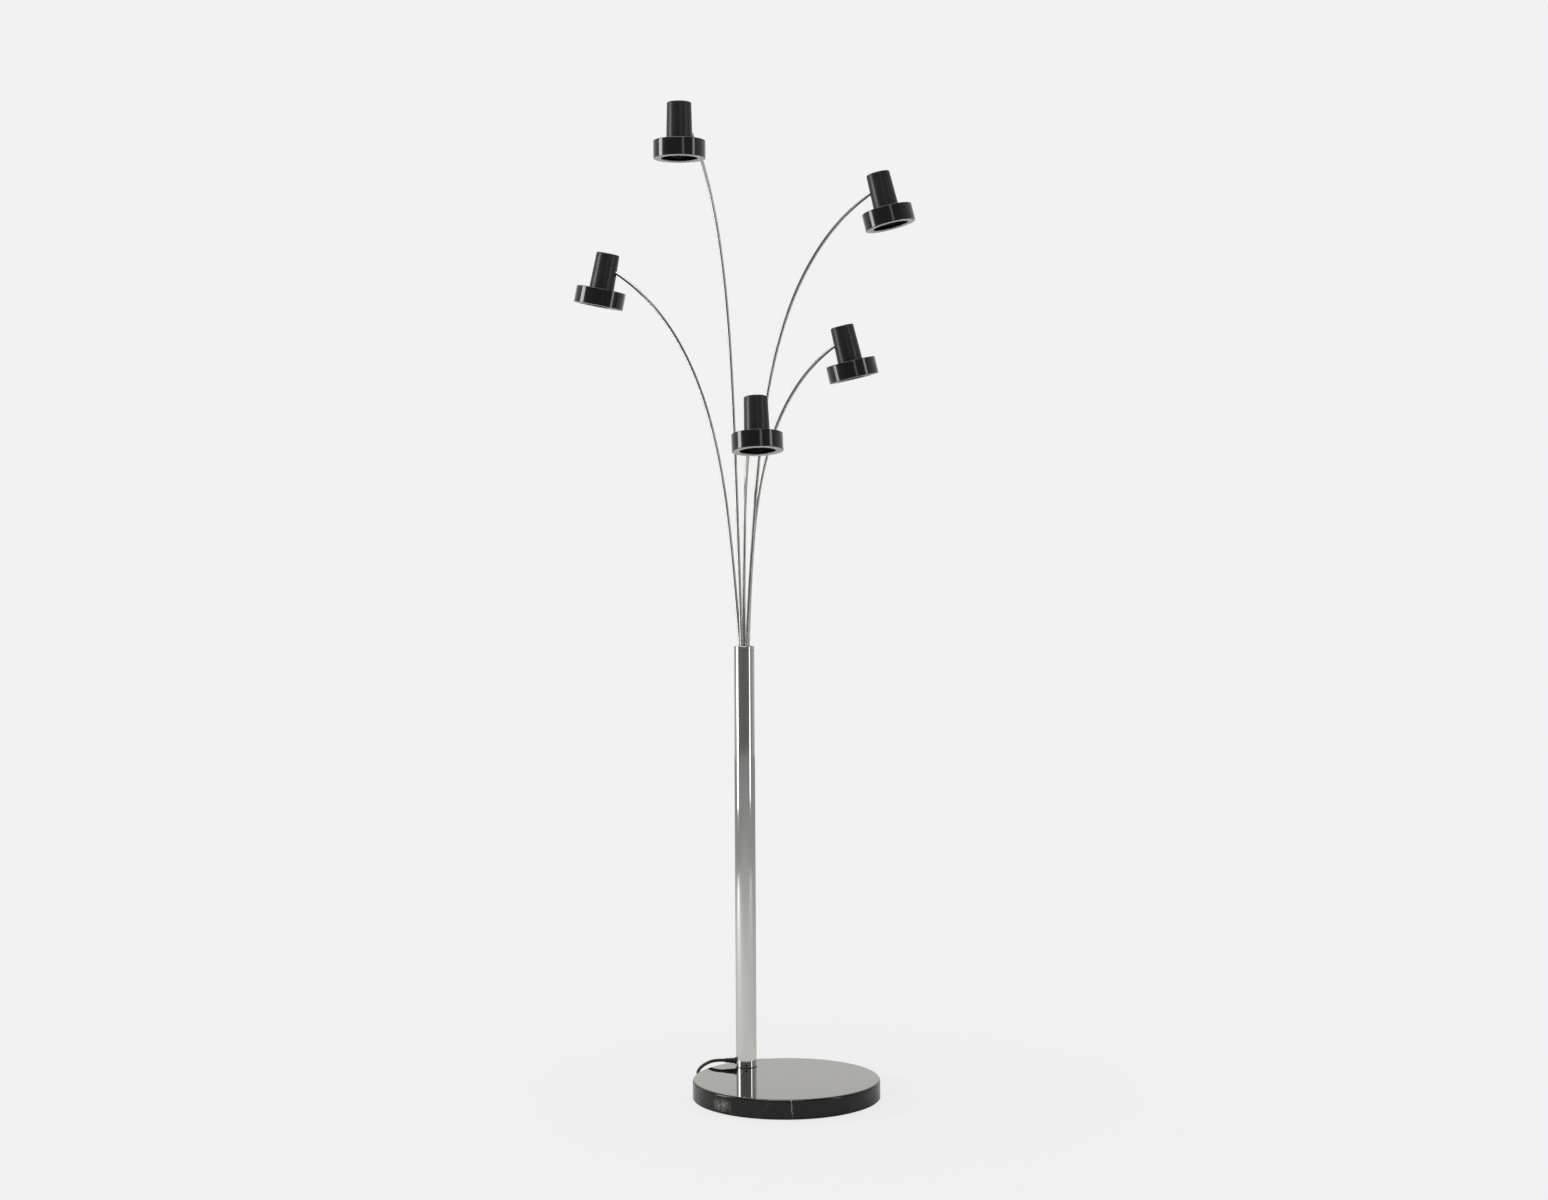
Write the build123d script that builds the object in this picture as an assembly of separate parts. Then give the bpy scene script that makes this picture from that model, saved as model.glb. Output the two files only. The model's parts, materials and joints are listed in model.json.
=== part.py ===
"""Tree floor lamp: a veined marble disc, a chromed pole set back from its centre, and five chromed
stems that fan out of the pole's top like palm fronds, each with a black spot head on its end.

Millimetres, +Z up. The origin is the centre of the base's underside. The pole stands at the rear,
on +Y. Everything is placed from the driving dimensions below.
"""
import os
from math import cos, degrees, pi, radians, sin, sqrt, tan

from build123d import *

os.makedirs("parts", exist_ok=True)

# ---------------------------------------------------------------- clearances
RUNNING_FIT = 0.05          # radial, a shaft that turns in its bore
LOCATING_FIT = 0.05         # radial, a spigot or plug that is slipped into its seat
SEAT_GAP = 0.30             # between pieces that pass each other without touching

# ---------------------------------------------------------------- base
BASE_DIAMETER = 338.0
MARBLE_THICKNESS = 34.0
MARBLE_ARRIS = 4.0          # rounded upper edge
MARBLE_LOWER_CHAMFER = 1.5
FELT_THICKNESS = 2.0
FELT_INSET = 7.0            # how far the felt stays inside the marble's edge
POLE_SETBACK = 122.0        # pole axis behind the base's centre

# ---------------------------------------------------------------- pole and its foot
POLE_DIAMETER = 38.0
POLE_WALL = 1.5
POLE_TOP_HEIGHT = 811.5     # top of the end collar above the floor
GASKET_THICKNESS = 1.0
GASKET_OVERHANG = 0.4
FOOT_PLUG_LENGTH = 30.0
BOLT_DIAMETER = 10.0
BOLT_HEAD_FLATS = 17.0
BOLT_HEAD_HEIGHT = 6.4
BOLT_REACH = 24.0           # thread inside the foot plug
BOLT_HOLE_DIAMETER = 12.0   # through the marble
COUNTERBORE_DIAMETER = 44.0
COUNTERBORE_DEPTH = 14.0
WASHER_DIAMETER = 32.0
WASHER_THICKNESS = 2.5
FOOT_SCREW_DIAMETER = 4.0
FOOT_SCREW_HEIGHT = 5.0     # above the marble
FOOT_SCREW_HEADING = -127.0
FOOT_SCREW_LENGTH = 7.0
FOOT_SCREW_SOCKET = 2.0     # across the socket's flats

# ---------------------------------------------------------------- pole top
COLLAR_HEIGHT = 8.0
COLLAR_MOUTH_DIAMETER = 31.0
COLLAR_ROUNDING = 1.4
COLLAR_LIP = 2.0            # thickness of the lip over the holder
HOLDER_RIM_THICKNESS = 0.6
HOLDER_RIM_INSET = 0.4      # the rim is smaller than the pole, which leaves a dark seam
HOLDER_NECK_DIAMETER = 30.0
HOLDER_LENGTH = 36.0        # part of the holder that is inside the pole
STEM_COUNT = 5
STEM_CIRCLE_DIAMETER = 15.6
FIRST_SLOT_HEADING = -90.0
HOLDER_POST_DIAMETER = 6.0
HOLDER_POST_LENGTH = 14.0
TERMINAL_WIDTH = 20.0
TERMINAL_DEPTH = 14.0
TERMINAL_HEIGHT = 16.0
TERMINAL_WIRE_DIAMETER = 3.2

# ---------------------------------------------------------------- stems
STEM_DIAMETER = 6.0
STEM_BORE = 4.0
STEM_SHOULDER_DIAMETER = 8.4
STEM_SHOULDER_HEIGHT = 2.5
STEM_STRAIGHT = 1.0         # straight above the holder before the foot bend
FOOT_BEND_RADIUS = 80.0
BEND_ARCS = 10              # tangent arcs in a stem's bend
ARC_SPACING = 0.8           # a power under 1 makes the arcs near the head shorter

# One stem each: slot in the holder, heading of its plane, length of the bent part, lean at its foot,
# lean at its end, how late the bend comes (a power), extra bend in its last arc, and how far the
# head's mouth swings outwards. The tallest stem hooks over more, which keeps it clear of its ring.
ARMS = {
    "a": dict(slot=4, heading=-159, length=966, foot=2.9, end=40.6, power=4.25, hook=10, head_lean=0),
    "b": dict(slot=0, heading=-46, length=883.5, foot=3.5, end=55.6, power=3.2, hook=0, head_lean=13.5),
    "c": dict(slot=2, heading=-115, length=443.5, foot=1.0, end=55.3, power=3.2, hook=0, head_lean=9),
    "d": dict(slot=3, heading=130, length=755, foot=4.5, end=56.4, power=2.63, hook=0, head_lean=11.5),
    "e": dict(slot=1, heading=-32, length=595, foot=2.3, end=53.6, power=2.61, hook=0, head_lean=13.3),
}

# ---------------------------------------------------------------- spot head
RING_DIAMETER = 93.0
RING_HEIGHT = 31.5
RING_WALL = 2.0
RING_WEB = 2.5
RING_ROUNDING = 1.2
MOUTH_DIAMETER = 66.0
BAFFLE_WALL = 1.5
FACE_THICKNESS = 1.5
FACE_EDGE = 1.2             # dark rim left outside the face plate
HEAD_TUBE_HEIGHT = 68.0
HEAD_TUBE_TOP_DIAMETER = 43.2
HEAD_TUBE_FOOT_DIAMETER = 46.5
HEAD_TUBE_WALL = 1.6
HEAD_TUBE_ROUNDING = 2.0
HEAD_TUBE_CAP = 2.0
SPIGOT_WALL = 0.9
SHOULDER_WIDTH = 1.5        # inner step that the bracket is pushed up against
PIVOT_HEIGHT = 69.0         # tilt pin above the ring's lower face
PIVOT_OFFSET = 16.6         # tilt pin from the head's axis
PIN_DIAMETER = 3.0
PIN_HEAD_DIAMETER = 5.0
PIN_HEAD_HEIGHT = 1.1
KNUCKLE_DIAMETER = 6.4
KNUCKLE_WIDTH = 6.0
KNUCKLE_NECK_DIAMETER = 5.4
TENON_LENGTH = 5.5
SLOT_HIGHEST = 10.0         # degrees, the stem's steepest way into the slot, from above
SLOT_LOWEST = 45.0          # and from below
EAR_THICKNESS = 1.2
EAR_RADIUS = 3.2
BRACKET_THICKNESS = 1.2
BRACKET_LIFT = 7.0          # bracket plate above the tilt pin
LAMPHOLDER_DIAMETER = 25.4
LAMPHOLDER_FLANGE_DIAMETER = 30.0
LAMPHOLDER_FLANGE = 1.5
LAMPHOLDER_TOP = 7.0        # above the bracket plate
BULB_RECESS = 16.0          # bulb face above the ring's lower face
BULB_DIAMETER = 35.0
BULB_RIM = 2.0
BULB_LENGTH = 46.7
BULB_NECK_DIAMETER = 22.0
BULB_NECK_LENGTH = 16.0
BULB_WAIST_DIAMETER = 31.2  # of the reflector, at the waist depth behind the rim
BULB_WAIST_DEPTH = 14.0
BULB_PIN_DIAMETER = 5.0
BULB_PIN_LENGTH = 7.0
BULB_PIN_SPACING = 10.0
SOCKET_HOLE_DIAMETER = 6.4
SOCKET_HOLE_DEPTH = 8.0

# ---------------------------------------------------------------- mains cord
CORD_DIAMETER = 6.0
CORD_FIRST_RUN = 17.0       # straight out of the boot
CORD_LAST_RUN = 22.0        # straight into the coil
GLAND_HEADING = 135.0
GLAND_HEIGHT = 10.0         # cord axis above the marble
GLAND_FLANGE_DIAMETER = 13.0
GLAND_FLANGE_THICKNESS = 2.0
GLAND_STUB_DIAMETER = 9.0
GLAND_BOOT_LENGTH = 20.0
GLAND_BOOT_ROOT = 10.6
GLAND_BOOT_TIP = 7.8
COIL_CENTRE = (104.0, 199.0)
COIL_MEAN_RADIUS = 36.0
COIL_TURNS = 3.375          # in each of the two layers
COIL_LAYER_SPANS = 14       # biarcs in each layer, near a quarter turn each
COIL_CLIMB_SPANS = 2        # in the half turn that climbs a layer
COIL_GAP = 0.6              # between neighbouring turns and layers
COIL_ENTRY_ANGLE = 110.0    # where the cord joins the outermost turn
TAIL_LENGTH = 44.0          # from the coil to the plug, straight end included
PLUG_LENGTH = 36.0
PLUG_WIDTH = 35.0
PLUG_THICKNESS = 14.0
PLUG_TAPER_WIDTH = 11.0     # at the cord's end
PLUG_PIN_DIAMETER = 4.0
PLUG_PIN_LENGTH = 19.0
PLUG_PIN_SPACING = 18.6

# ---------------------------------------------------------------- heights worked out from the above
marble_top = FELT_THICKNESS + MARBLE_THICKNESS
pole_foot = marble_top + GASKET_THICKNESS
collar_foot = POLE_TOP_HEIGHT - COLLAR_HEIGHT
tube_top = collar_foot - HOLDER_RIM_THICKNESS
holder_top = POLE_TOP_HEIGHT - COLLAR_LIP - SEAT_GAP
holder_bottom = tube_top - HOLDER_LENGTH
pole_bore = POLE_DIAMETER / 2 - POLE_WALL
pole_place = Location((0, POLE_SETBACK, 0))
written = []


def write(name, shape, colour_group=None):
    """One STEP file per piece, named after it."""
    shape.label = name
    export_step(shape, f"parts/{name}.step")
    written.append(name)
    return shape


def tube(outer, inner, low, high):
    """An upright hollow cylinder about Z, given by its two radii and two heights."""
    body = Cylinder(outer, high - low, align=(Align.CENTER, Align.CENTER, Align.MIN))
    hole = Cylinder(inner, high - low, align=(Align.CENTER, Align.CENTER, Align.MIN))
    return Pos(0, 0, low) * (body - hole)


def rod(radius, low, high):
    """An upright solid cylinder about Z."""
    return Pos(0, 0, low) * Cylinder(radius, high - low, align=(Align.CENTER, Align.CENTER, Align.MIN))


def turned(points):
    """A solid of revolution about Z from its (radius, height) outline."""
    return revolve(make_face(Polyline(*[(r, 0, z) for r, z in points], close=True)), Axis.Z)


def heading_vector(angle):
    return Vector(cos(radians(angle)), sin(radians(angle)), 0)


# ================================================================ base
def marble_base():
    disc = rod(BASE_DIAMETER / 2, FELT_THICKNESS, marble_top)
    disc = fillet(disc.edges().group_by(Axis.Z)[-1], MARBLE_ARRIS)
    disc = chamfer(disc.edges().group_by(Axis.Z)[0], MARBLE_LOWER_CHAMFER)
    hole = rod(BOLT_HOLE_DIAMETER / 2, 0, marble_top + 1)
    counterbore = rod(COUNTERBORE_DIAMETER / 2, 0, FELT_THICKNESS + COUNTERBORE_DEPTH)
    return disc - pole_place * (hole + counterbore)


def base_felt():
    disc = rod(BASE_DIAMETER / 2 - FELT_INSET, 0, FELT_THICKNESS)
    return disc - pole_place * rod(COUNTERBORE_DIAMETER / 2, -1, FELT_THICKNESS + 1)


washer_top = FELT_THICKNESS + COUNTERBORE_DEPTH
head_top = washer_top - WASHER_THICKNESS
bolt_top = pole_foot + BOLT_REACH


def tie_bolt():
    head = extrude(RegularPolygon(BOLT_HEAD_FLATS / 2, 6, major_radius=False), BOLT_HEAD_HEIGHT)
    head = Pos(0, 0, head_top - BOLT_HEAD_HEIGHT) * head
    return pole_place * (head + rod(BOLT_DIAMETER / 2, head_top, bolt_top))


def bolt_washer():
    return pole_place * tube(WASHER_DIAMETER / 2, BOLT_DIAMETER / 2 + LOCATING_FIT, head_top, washer_top)


# ================================================================ pole
cord_height = marble_top + GLAND_HEIGHT
screw_height = marble_top + FOOT_SCREW_HEIGHT


def radial_place(angle, height):
    """A place on the pole's axis whose +X looks out along the heading."""
    return pole_place * Location((0, 0, height)) * Location((0, 0, 0), (0, 0, angle))


def radial_rod(radius, start, end):
    """A rod along +X, from one distance to the other."""
    return Pos(start, 0, 0) * Rot(0, 90, 0) * Cylinder(
        radius, end - start, align=(Align.CENTER, Align.CENTER, Align.MIN)
    )


def pole_tube():
    body = pole_place * tube(POLE_DIAMETER / 2, pole_bore, pole_foot, tube_top)
    cord_hole = radial_place(GLAND_HEADING, cord_height) * radial_rod(
        GLAND_STUB_DIAMETER / 2 + LOCATING_FIT, 0, POLE_DIAMETER
    )
    screw_hole = radial_place(FOOT_SCREW_HEADING, screw_height) * radial_rod(
        FOOT_SCREW_DIAMETER / 2 + LOCATING_FIT, 0, POLE_DIAMETER
    )
    return body - cord_hole - screw_hole


def pole_gasket():
    outer = POLE_DIAMETER / 2 + GASKET_OVERHANG
    return pole_place * tube(outer, BOLT_HOLE_DIAMETER / 2, marble_top, pole_foot)


def foot_plug():
    outer = pole_bore - LOCATING_FIT
    body = pole_place * rod(outer, pole_foot, pole_foot + FOOT_PLUG_LENGTH)
    bore = pole_place * rod(BOLT_DIAMETER / 2 + LOCATING_FIT, 0, bolt_top + 1)
    channel_width = GLAND_STUB_DIAMETER + 1
    channel = Pos(BOLT_DIAMETER / 2 + 2, 0, -channel_width / 2) * Box(
        POLE_DIAMETER,
        channel_width,
        FOOT_PLUG_LENGTH + channel_width,
        align=(Align.MIN, Align.CENTER, Align.MIN),
    )
    channel = radial_place(GLAND_HEADING, cord_height) * channel
    screw = radial_place(FOOT_SCREW_HEADING, screw_height) * radial_rod(
        FOOT_SCREW_DIAMETER / 2 + LOCATING_FIT, POLE_DIAMETER / 2 - FOOT_SCREW_LENGTH, POLE_DIAMETER
    )
    return body - bore - channel - screw


def foot_screw():
    end = POLE_DIAMETER / 2
    body = radial_rod(FOOT_SCREW_DIAMETER / 2, end - FOOT_SCREW_LENGTH, end)
    socket = extrude(RegularPolygon(FOOT_SCREW_SOCKET / 2, 6, major_radius=False), FOOT_SCREW_DIAMETER)
    socket = Pos(end - FOOT_SCREW_DIAMETER / 2, 0, 0) * Rot(0, 90, 0) * socket
    return radial_place(FOOT_SCREW_HEADING, screw_height) * (body - socket)


def top_collar():
    outer = POLE_DIAMETER / 2
    neck = HOLDER_NECK_DIAMETER / 2 + LOCATING_FIT
    ring = tube(outer, neck, collar_foot, POLE_TOP_HEIGHT)
    mouth = rod(COLLAR_MOUTH_DIAMETER / 2, POLE_TOP_HEIGHT - COLLAR_LIP, POLE_TOP_HEIGHT + 1)
    ring = ring - mouth
    rim = ring.edges().filter_by(GeomType.CIRCLE).group_by(Axis.Z)[-1].sort_by(SortBy.RADIUS)[-1]
    return pole_place * fillet(rim, COLLAR_ROUNDING)


def slot_point(slot):
    """Centre of one stem's bore, from the pole's axis."""
    angle = FIRST_SLOT_HEADING + slot * 360.0 / STEM_COUNT
    return heading_vector(angle) * (STEM_CIRCLE_DIAMETER / 2)


def arm_holder():
    body = rod(pole_bore - LOCATING_FIT, holder_bottom, tube_top)
    body += rod(POLE_DIAMETER / 2 - HOLDER_RIM_INSET, tube_top, collar_foot)
    body += rod(HOLDER_NECK_DIAMETER / 2, collar_foot, holder_top)
    body += rod(HOLDER_POST_DIAMETER / 2, holder_bottom - HOLDER_POST_LENGTH, holder_bottom)
    for slot in range(STEM_COUNT):
        bore = rod(STEM_DIAMETER / 2 + RUNNING_FIT, holder_bottom - 1, holder_top + 1)
        body -= Pos(slot_point(slot)) * bore
    return pole_place * body


def terminal_block():
    top = holder_bottom - HOLDER_POST_LENGTH
    block = Box(TERMINAL_WIDTH, TERMINAL_DEPTH, TERMINAL_HEIGHT, align=(Align.CENTER, Align.CENTER, Align.MAX))
    wire = Cylinder(TERMINAL_WIRE_DIAMETER / 2, TERMINAL_HEIGHT * 2)
    for side in (-1, 1):
        block -= Pos(side * TERMINAL_WIDTH / 4, 0, 0) * wire
    return pole_place * Pos(0, 0, top) * block


# ================================================================ stems
def arc_points(x, z, lean, turn, length):
    """Middle, end and new lean of an arc that starts at (x, z) and leans `lean` from upright."""
    radius = length / turn
    centre_x = x + radius * cos(lean)
    centre_z = z - radius * sin(lean)

    def at(share):
        now = lean + turn * share
        return centre_x - radius * cos(now), centre_z + radius * sin(now)

    return at(0.5), at(1.0), lean + turn


def stem_route(arm):
    """The stem's centreline in its own upright plane (x outwards, z up), as edges, with its end and lean.

    Along the bent part the lean grows from `foot` to `end` as (share of length) ** power, and each
    arc meets that curve at its ends.
    """
    bottom = holder_bottom - SEAT_GAP - STEM_SHOULDER_HEIGHT
    x = 0.0
    z = holder_top + STEM_STRAIGHT
    edges = [Line((0, 0, bottom), (0, 0, z))]
    foot = radians(arm["foot"])
    steps = [(foot, FOOT_BEND_RADIUS * foot)]
    growth = radians(arm["end"]) - foot
    shares = [(index / BEND_ARCS) ** ARC_SPACING for index in range(BEND_ARCS + 1)]
    for start, end in zip(shares, shares[1:]):
        turn = growth * (end ** arm["power"] - start ** arm["power"])
        if end == 1.0:
            turn += radians(arm["hook"])
        steps.append((turn, arm["length"] * (end - start)))
    lean = 0.0
    for turn, length in steps:
        middle, end, new_lean = arc_points(x, z, lean, turn, length)
        edges.append(ThreePointArc((x, 0, z), (middle[0], 0, middle[1]), (end[0], 0, end[1])))
        x, z = end
        lean = new_lean
    return edges, x, z, lean


def head_wall_radius(height):
    """Outer radius of the head's tapered tube at a height above the ring's lower face."""
    share = (height - RING_HEIGHT) / HEAD_TUBE_HEIGHT
    foot = HEAD_TUBE_FOOT_DIAMETER / 2
    return foot + (HEAD_TUBE_TOP_DIAMETER / 2 - foot) * share


def arm_layout(arm):
    """Where the stem ends, where the tilt pin is, and the place of the arm's plane."""
    edges, x, z, lean = stem_route(arm)
    # The bent part ends at the head tube's outer wall. The pin lies further in along the stem's line.
    entry_slope = pi / 2 - lean - radians(arm["head_lean"])
    to_pin = (head_wall_radius(PIVOT_HEIGHT) - PIVOT_OFFSET) / cos(entry_slope)
    direction = Vector(sin(lean), 0, cos(lean))
    pin = Vector(x, 0, z) + direction * to_pin
    stem_end = pin - direction * (KNUCKLE_DIAMETER / 2 + SEAT_GAP)
    edges.append(Line((x, 0, z), stem_end))
    slot = slot_point(arm["slot"])
    place = pole_place * Location((slot.X, slot.Y, 0)) * Location((0, 0, 0), (0, 0, arm["heading"]))
    return dict(edges=edges, pin=pin, end=stem_end, direction=direction, lean=lean, place=place)


def swept_stem(edges, radius):
    start = edges[0] @ 0
    return sweep(Plane(origin=start, z_dir=(0, 0, 1)) * Circle(radius), path=Wire(edges))


def stem(layout):
    bottom = (layout["edges"][0] @ 0).Z
    body = swept_stem(layout["edges"], STEM_DIAMETER / 2)
    body += rod(STEM_SHOULDER_DIAMETER / 2, bottom, bottom + STEM_SHOULDER_HEIGHT)
    return layout["place"] * (body - swept_stem(layout["edges"], STEM_BORE / 2))


def knuckle(layout):
    """Barrel round the tilt pin, with a tenon that goes into the stem's bore."""
    barrel = Rot(90, 0, 0) * Cylinder(KNUCKLE_DIAMETER / 2, KNUCKLE_WIDTH)
    tenon = Cylinder(
        STEM_BORE / 2 - LOCATING_FIT,
        KNUCKLE_DIAMETER / 2 + SEAT_GAP + TENON_LENGTH,
        align=(Align.CENTER, Align.CENTER, Align.MAX),
    )
    neck = Cylinder(
        KNUCKLE_NECK_DIAMETER / 2,
        KNUCKLE_DIAMETER / 2 + SEAT_GAP,
        align=(Align.CENTER, Align.CENTER, Align.MAX),
    )
    along = Rot(0, degrees(layout["lean"]), 0) * (tenon + neck)
    pin_hole = Rot(90, 0, 0) * Cylinder(PIN_DIAMETER / 2 + RUNNING_FIT, KNUCKLE_WIDTH * 2)
    return layout["place"] * Pos(layout["pin"]) * (barrel + along - pin_hole)


# ================================================================ spot head, about its own axis
ring_radius = RING_DIAMETER / 2
mouth_radius = MOUTH_DIAMETER / 2
web_low = RING_HEIGHT - RING_WEB
bracket_low = PIVOT_HEIGHT + BRACKET_LIFT
bracket_high = bracket_low + BRACKET_THICKNESS
tube_high = RING_HEIGHT + HEAD_TUBE_HEIGHT
spigot_outer = HEAD_TUBE_FOOT_DIAMETER / 2 - HEAD_TUBE_WALL + SPIGOT_WALL
spigot_inner = HEAD_TUBE_FOOT_DIAMETER / 2 - HEAD_TUBE_WALL


def head_ring():
    """Inverted channel: outer wall, top web and inner baffle, open below for the face plate."""
    face_seat = ring_radius - FACE_EDGE
    outline = [
        (spigot_outer + LOCATING_FIT, RING_HEIGHT),
        (ring_radius, RING_HEIGHT),
        (ring_radius, 0),
        (face_seat, 0),
        (face_seat, FACE_THICKNESS),
        (ring_radius - RING_WALL, FACE_THICKNESS),
        (ring_radius - RING_WALL, web_low),
        (mouth_radius + BAFFLE_WALL, web_low),
        (mouth_radius + BAFFLE_WALL, FACE_THICKNESS),
        (mouth_radius, FACE_THICKNESS),
        (mouth_radius, web_low),
        (spigot_outer + LOCATING_FIT, web_low),
    ]
    ring = turned(outline)
    circles = ring.edges().filter_by(GeomType.CIRCLE)
    outer = [e for e in circles if abs(e.radius - ring_radius) < 0.01]
    ring = fillet(outer[0], RING_ROUNDING)
    circles = ring.edges().filter_by(GeomType.CIRCLE)
    low = [e for e in circles if abs(e.radius - ring_radius) < 0.01 and abs(e.center().Z) < 0.01]
    return fillet(low, FACE_EDGE * 0.7) if low else ring


def ring_face():
    return tube(ring_radius - FACE_EDGE - LOCATING_FIT, mouth_radius, 0, FACE_THICKNESS)


def head_tube():
    """Tapered tube with a closed, rounded top, a spigot in the ring and a step for the bracket."""
    def wall(height):
        return head_wall_radius(height) - HEAD_TUBE_WALL

    outline = [
        (spigot_inner, web_low),
        (spigot_outer, web_low),
        (spigot_outer, RING_HEIGHT),
        (HEAD_TUBE_FOOT_DIAMETER / 2, RING_HEIGHT),
        (HEAD_TUBE_TOP_DIAMETER / 2, tube_high),
        (0, tube_high),
        (0, tube_high - HEAD_TUBE_CAP),
        (wall(tube_high) - SHOULDER_WIDTH, tube_high - HEAD_TUBE_CAP),
        (wall(bracket_high) - SHOULDER_WIDTH, bracket_high),
        (wall(bracket_high), bracket_high),
        (wall(RING_HEIGHT), RING_HEIGHT),
    ]
    body = turned(outline)
    body = fillet(
        [e for e in body.edges().filter_by(GeomType.CIRCLE) if abs(e.center().Z - tube_high) < 0.01],
        HEAD_TUBE_ROUNDING,
    )
    return body - stem_slot()


def stem_slot():
    """Upright slot in the wall, on the pole's side, that lets the head tilt on its pin."""
    reach = head_wall_radius(PIVOT_HEIGHT) - PIVOT_OFFSET
    half_width = STEM_DIAMETER / 2 + SEAT_GAP
    high = PIVOT_HEIGHT + reach * tan(radians(SLOT_HIGHEST)) + half_width / cos(radians(SLOT_HIGHEST))
    low = PIVOT_HEIGHT - reach * tan(radians(SLOT_LOWEST)) - half_width / cos(radians(SLOT_LOWEST))
    profile = Plane.YZ * Pos(0, (high + low) / 2) * SlotOverall(high - low, half_width * 2, rotation=90)
    return Pos(-PIVOT_OFFSET, 0, 0) * extrude(profile, -HEAD_TUBE_TOP_DIAMETER)


def head_bracket():
    """Plate across the tube that carries the lampholder, with two ears for the tilt pin."""
    plate_radius = head_wall_radius(bracket_high) - HEAD_TUBE_WALL - LOCATING_FIT
    plate = tube(plate_radius, LAMPHOLDER_DIAMETER / 2 + LOCATING_FIT, bracket_low, bracket_high)
    ear_inner = KNUCKLE_WIDTH / 2 + SEAT_GAP
    profile = Plane.XZ * (Pos(-PIVOT_OFFSET, PIVOT_HEIGHT) * Circle(EAR_RADIUS))
    neck = Plane.XZ * (
        Pos(-PIVOT_OFFSET, PIVOT_HEIGHT + BRACKET_LIFT / 2) * Rectangle(EAR_RADIUS * 2, BRACKET_LIFT)
    )
    for side in (-1, 1):
        centre = side * (ear_inner + EAR_THICKNESS / 2)
        ear = extrude(profile + neck, EAR_THICKNESS / 2, both=True)
        plate += Pos(0, centre, 0) * ear
    pin_hole = Rot(90, 0, 0) * Cylinder(PIN_DIAMETER / 2 + LOCATING_FIT, ear_inner * 4)
    return plate - Pos(-PIVOT_OFFSET, 0, PIVOT_HEIGHT) * pin_hole


def tilt_pin():
    outside = KNUCKLE_WIDTH / 2 + SEAT_GAP + EAR_THICKNESS
    shank = Cylinder(PIN_DIAMETER / 2, outside * 2)
    for side in (-1, 1):
        shank += Pos(0, 0, side * (outside + PIN_HEAD_HEIGHT / 2)) * Cylinder(
            PIN_HEAD_DIAMETER / 2, PIN_HEAD_HEIGHT
        )
    return Pos(-PIVOT_OFFSET, 0, PIVOT_HEIGHT) * Rot(90, 0, 0) * shank


bulb_shoulder = BULB_RECESS + BULB_LENGTH


def lampholder():
    low = bulb_shoulder + LOCATING_FIT
    body = rod(LAMPHOLDER_DIAMETER / 2, low, bracket_high + LAMPHOLDER_TOP)
    body += rod(LAMPHOLDER_FLANGE_DIAMETER / 2, bracket_high, bracket_high + LAMPHOLDER_FLANGE)
    for side in (-1, 1):
        hole = rod(SOCKET_HOLE_DIAMETER / 2, low - 1, low + SOCKET_HOLE_DEPTH)
        body -= Pos(0, side * BULB_PIN_SPACING / 2, 0) * hole
    return body


def bulb():
    """Reflector spot bulb: rim, curved reflector, neck and two pins."""
    rim = BULB_DIAMETER / 2
    neck = BULB_NECK_DIAMETER / 2
    rim_top = BULB_RECESS + BULB_RIM
    neck_low = bulb_shoulder - BULB_NECK_LENGTH
    outline = [
        Line((0, 0, BULB_RECESS), (rim, 0, BULB_RECESS)),
        Line((rim, 0, BULB_RECESS), (rim, 0, rim_top)),
        ThreePointArc(
            (rim, 0, rim_top),
            (BULB_WAIST_DIAMETER / 2, 0, rim_top + BULB_WAIST_DEPTH),
            (neck, 0, neck_low),
        ),
        Line((neck, 0, neck_low), (neck, 0, bulb_shoulder)),
        Line((neck, 0, bulb_shoulder), (0, 0, bulb_shoulder)),
        Line((0, 0, bulb_shoulder), (0, 0, BULB_RECESS)),
    ]
    body = revolve(make_face(Wire(outline)), Axis.Z)
    for side in (-1, 1):
        pin = rod(BULB_PIN_DIAMETER / 2, bulb_shoulder, bulb_shoulder + BULB_PIN_LENGTH)
        body += Pos(0, side * BULB_PIN_SPACING / 2, 0) * pin
    return body


def head_place(arm, layout):
    """From a head drawn about its own axis to its place on the stem, mouth swung outwards."""
    on_pin = Location((PIVOT_OFFSET, 0, -PIVOT_HEIGHT))
    swing = Location((0, 0, 0), (0, -arm["head_lean"], 0))
    return layout["place"] * Location(layout["pin"]) * swing * on_pin


# ================================================================ mains cord
def cord_gland():
    """Grommet in the pole's wall with a flange and a tapered boot; the flange fits the pole's curve."""
    outside = POLE_DIAMETER / 2
    body = radial_rod(GLAND_STUB_DIAMETER / 2, pole_bore - 1, outside + GLAND_FLANGE_THICKNESS)
    flange = radial_rod(GLAND_FLANGE_DIAMETER / 2, pole_bore, outside + GLAND_FLANGE_THICKNESS)
    flange -= Cylinder(outside + LOCATING_FIT, GLAND_FLANGE_DIAMETER * 2)
    boot_start = outside + GLAND_FLANGE_THICKNESS
    boot = Pos(boot_start, 0, 0) * Rot(0, 90, 0) * Cone(
        GLAND_BOOT_ROOT / 2,
        GLAND_BOOT_TIP / 2,
        GLAND_BOOT_LENGTH,
        align=(Align.CENTER, Align.CENTER, Align.MIN),
    )
    bore = radial_rod(CORD_DIAMETER / 2 - 0.6, 0, boot_start + GLAND_BOOT_LENGTH - 4)
    return radial_place(GLAND_HEADING, cord_height) * (body + flange + boot - bore)


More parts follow.
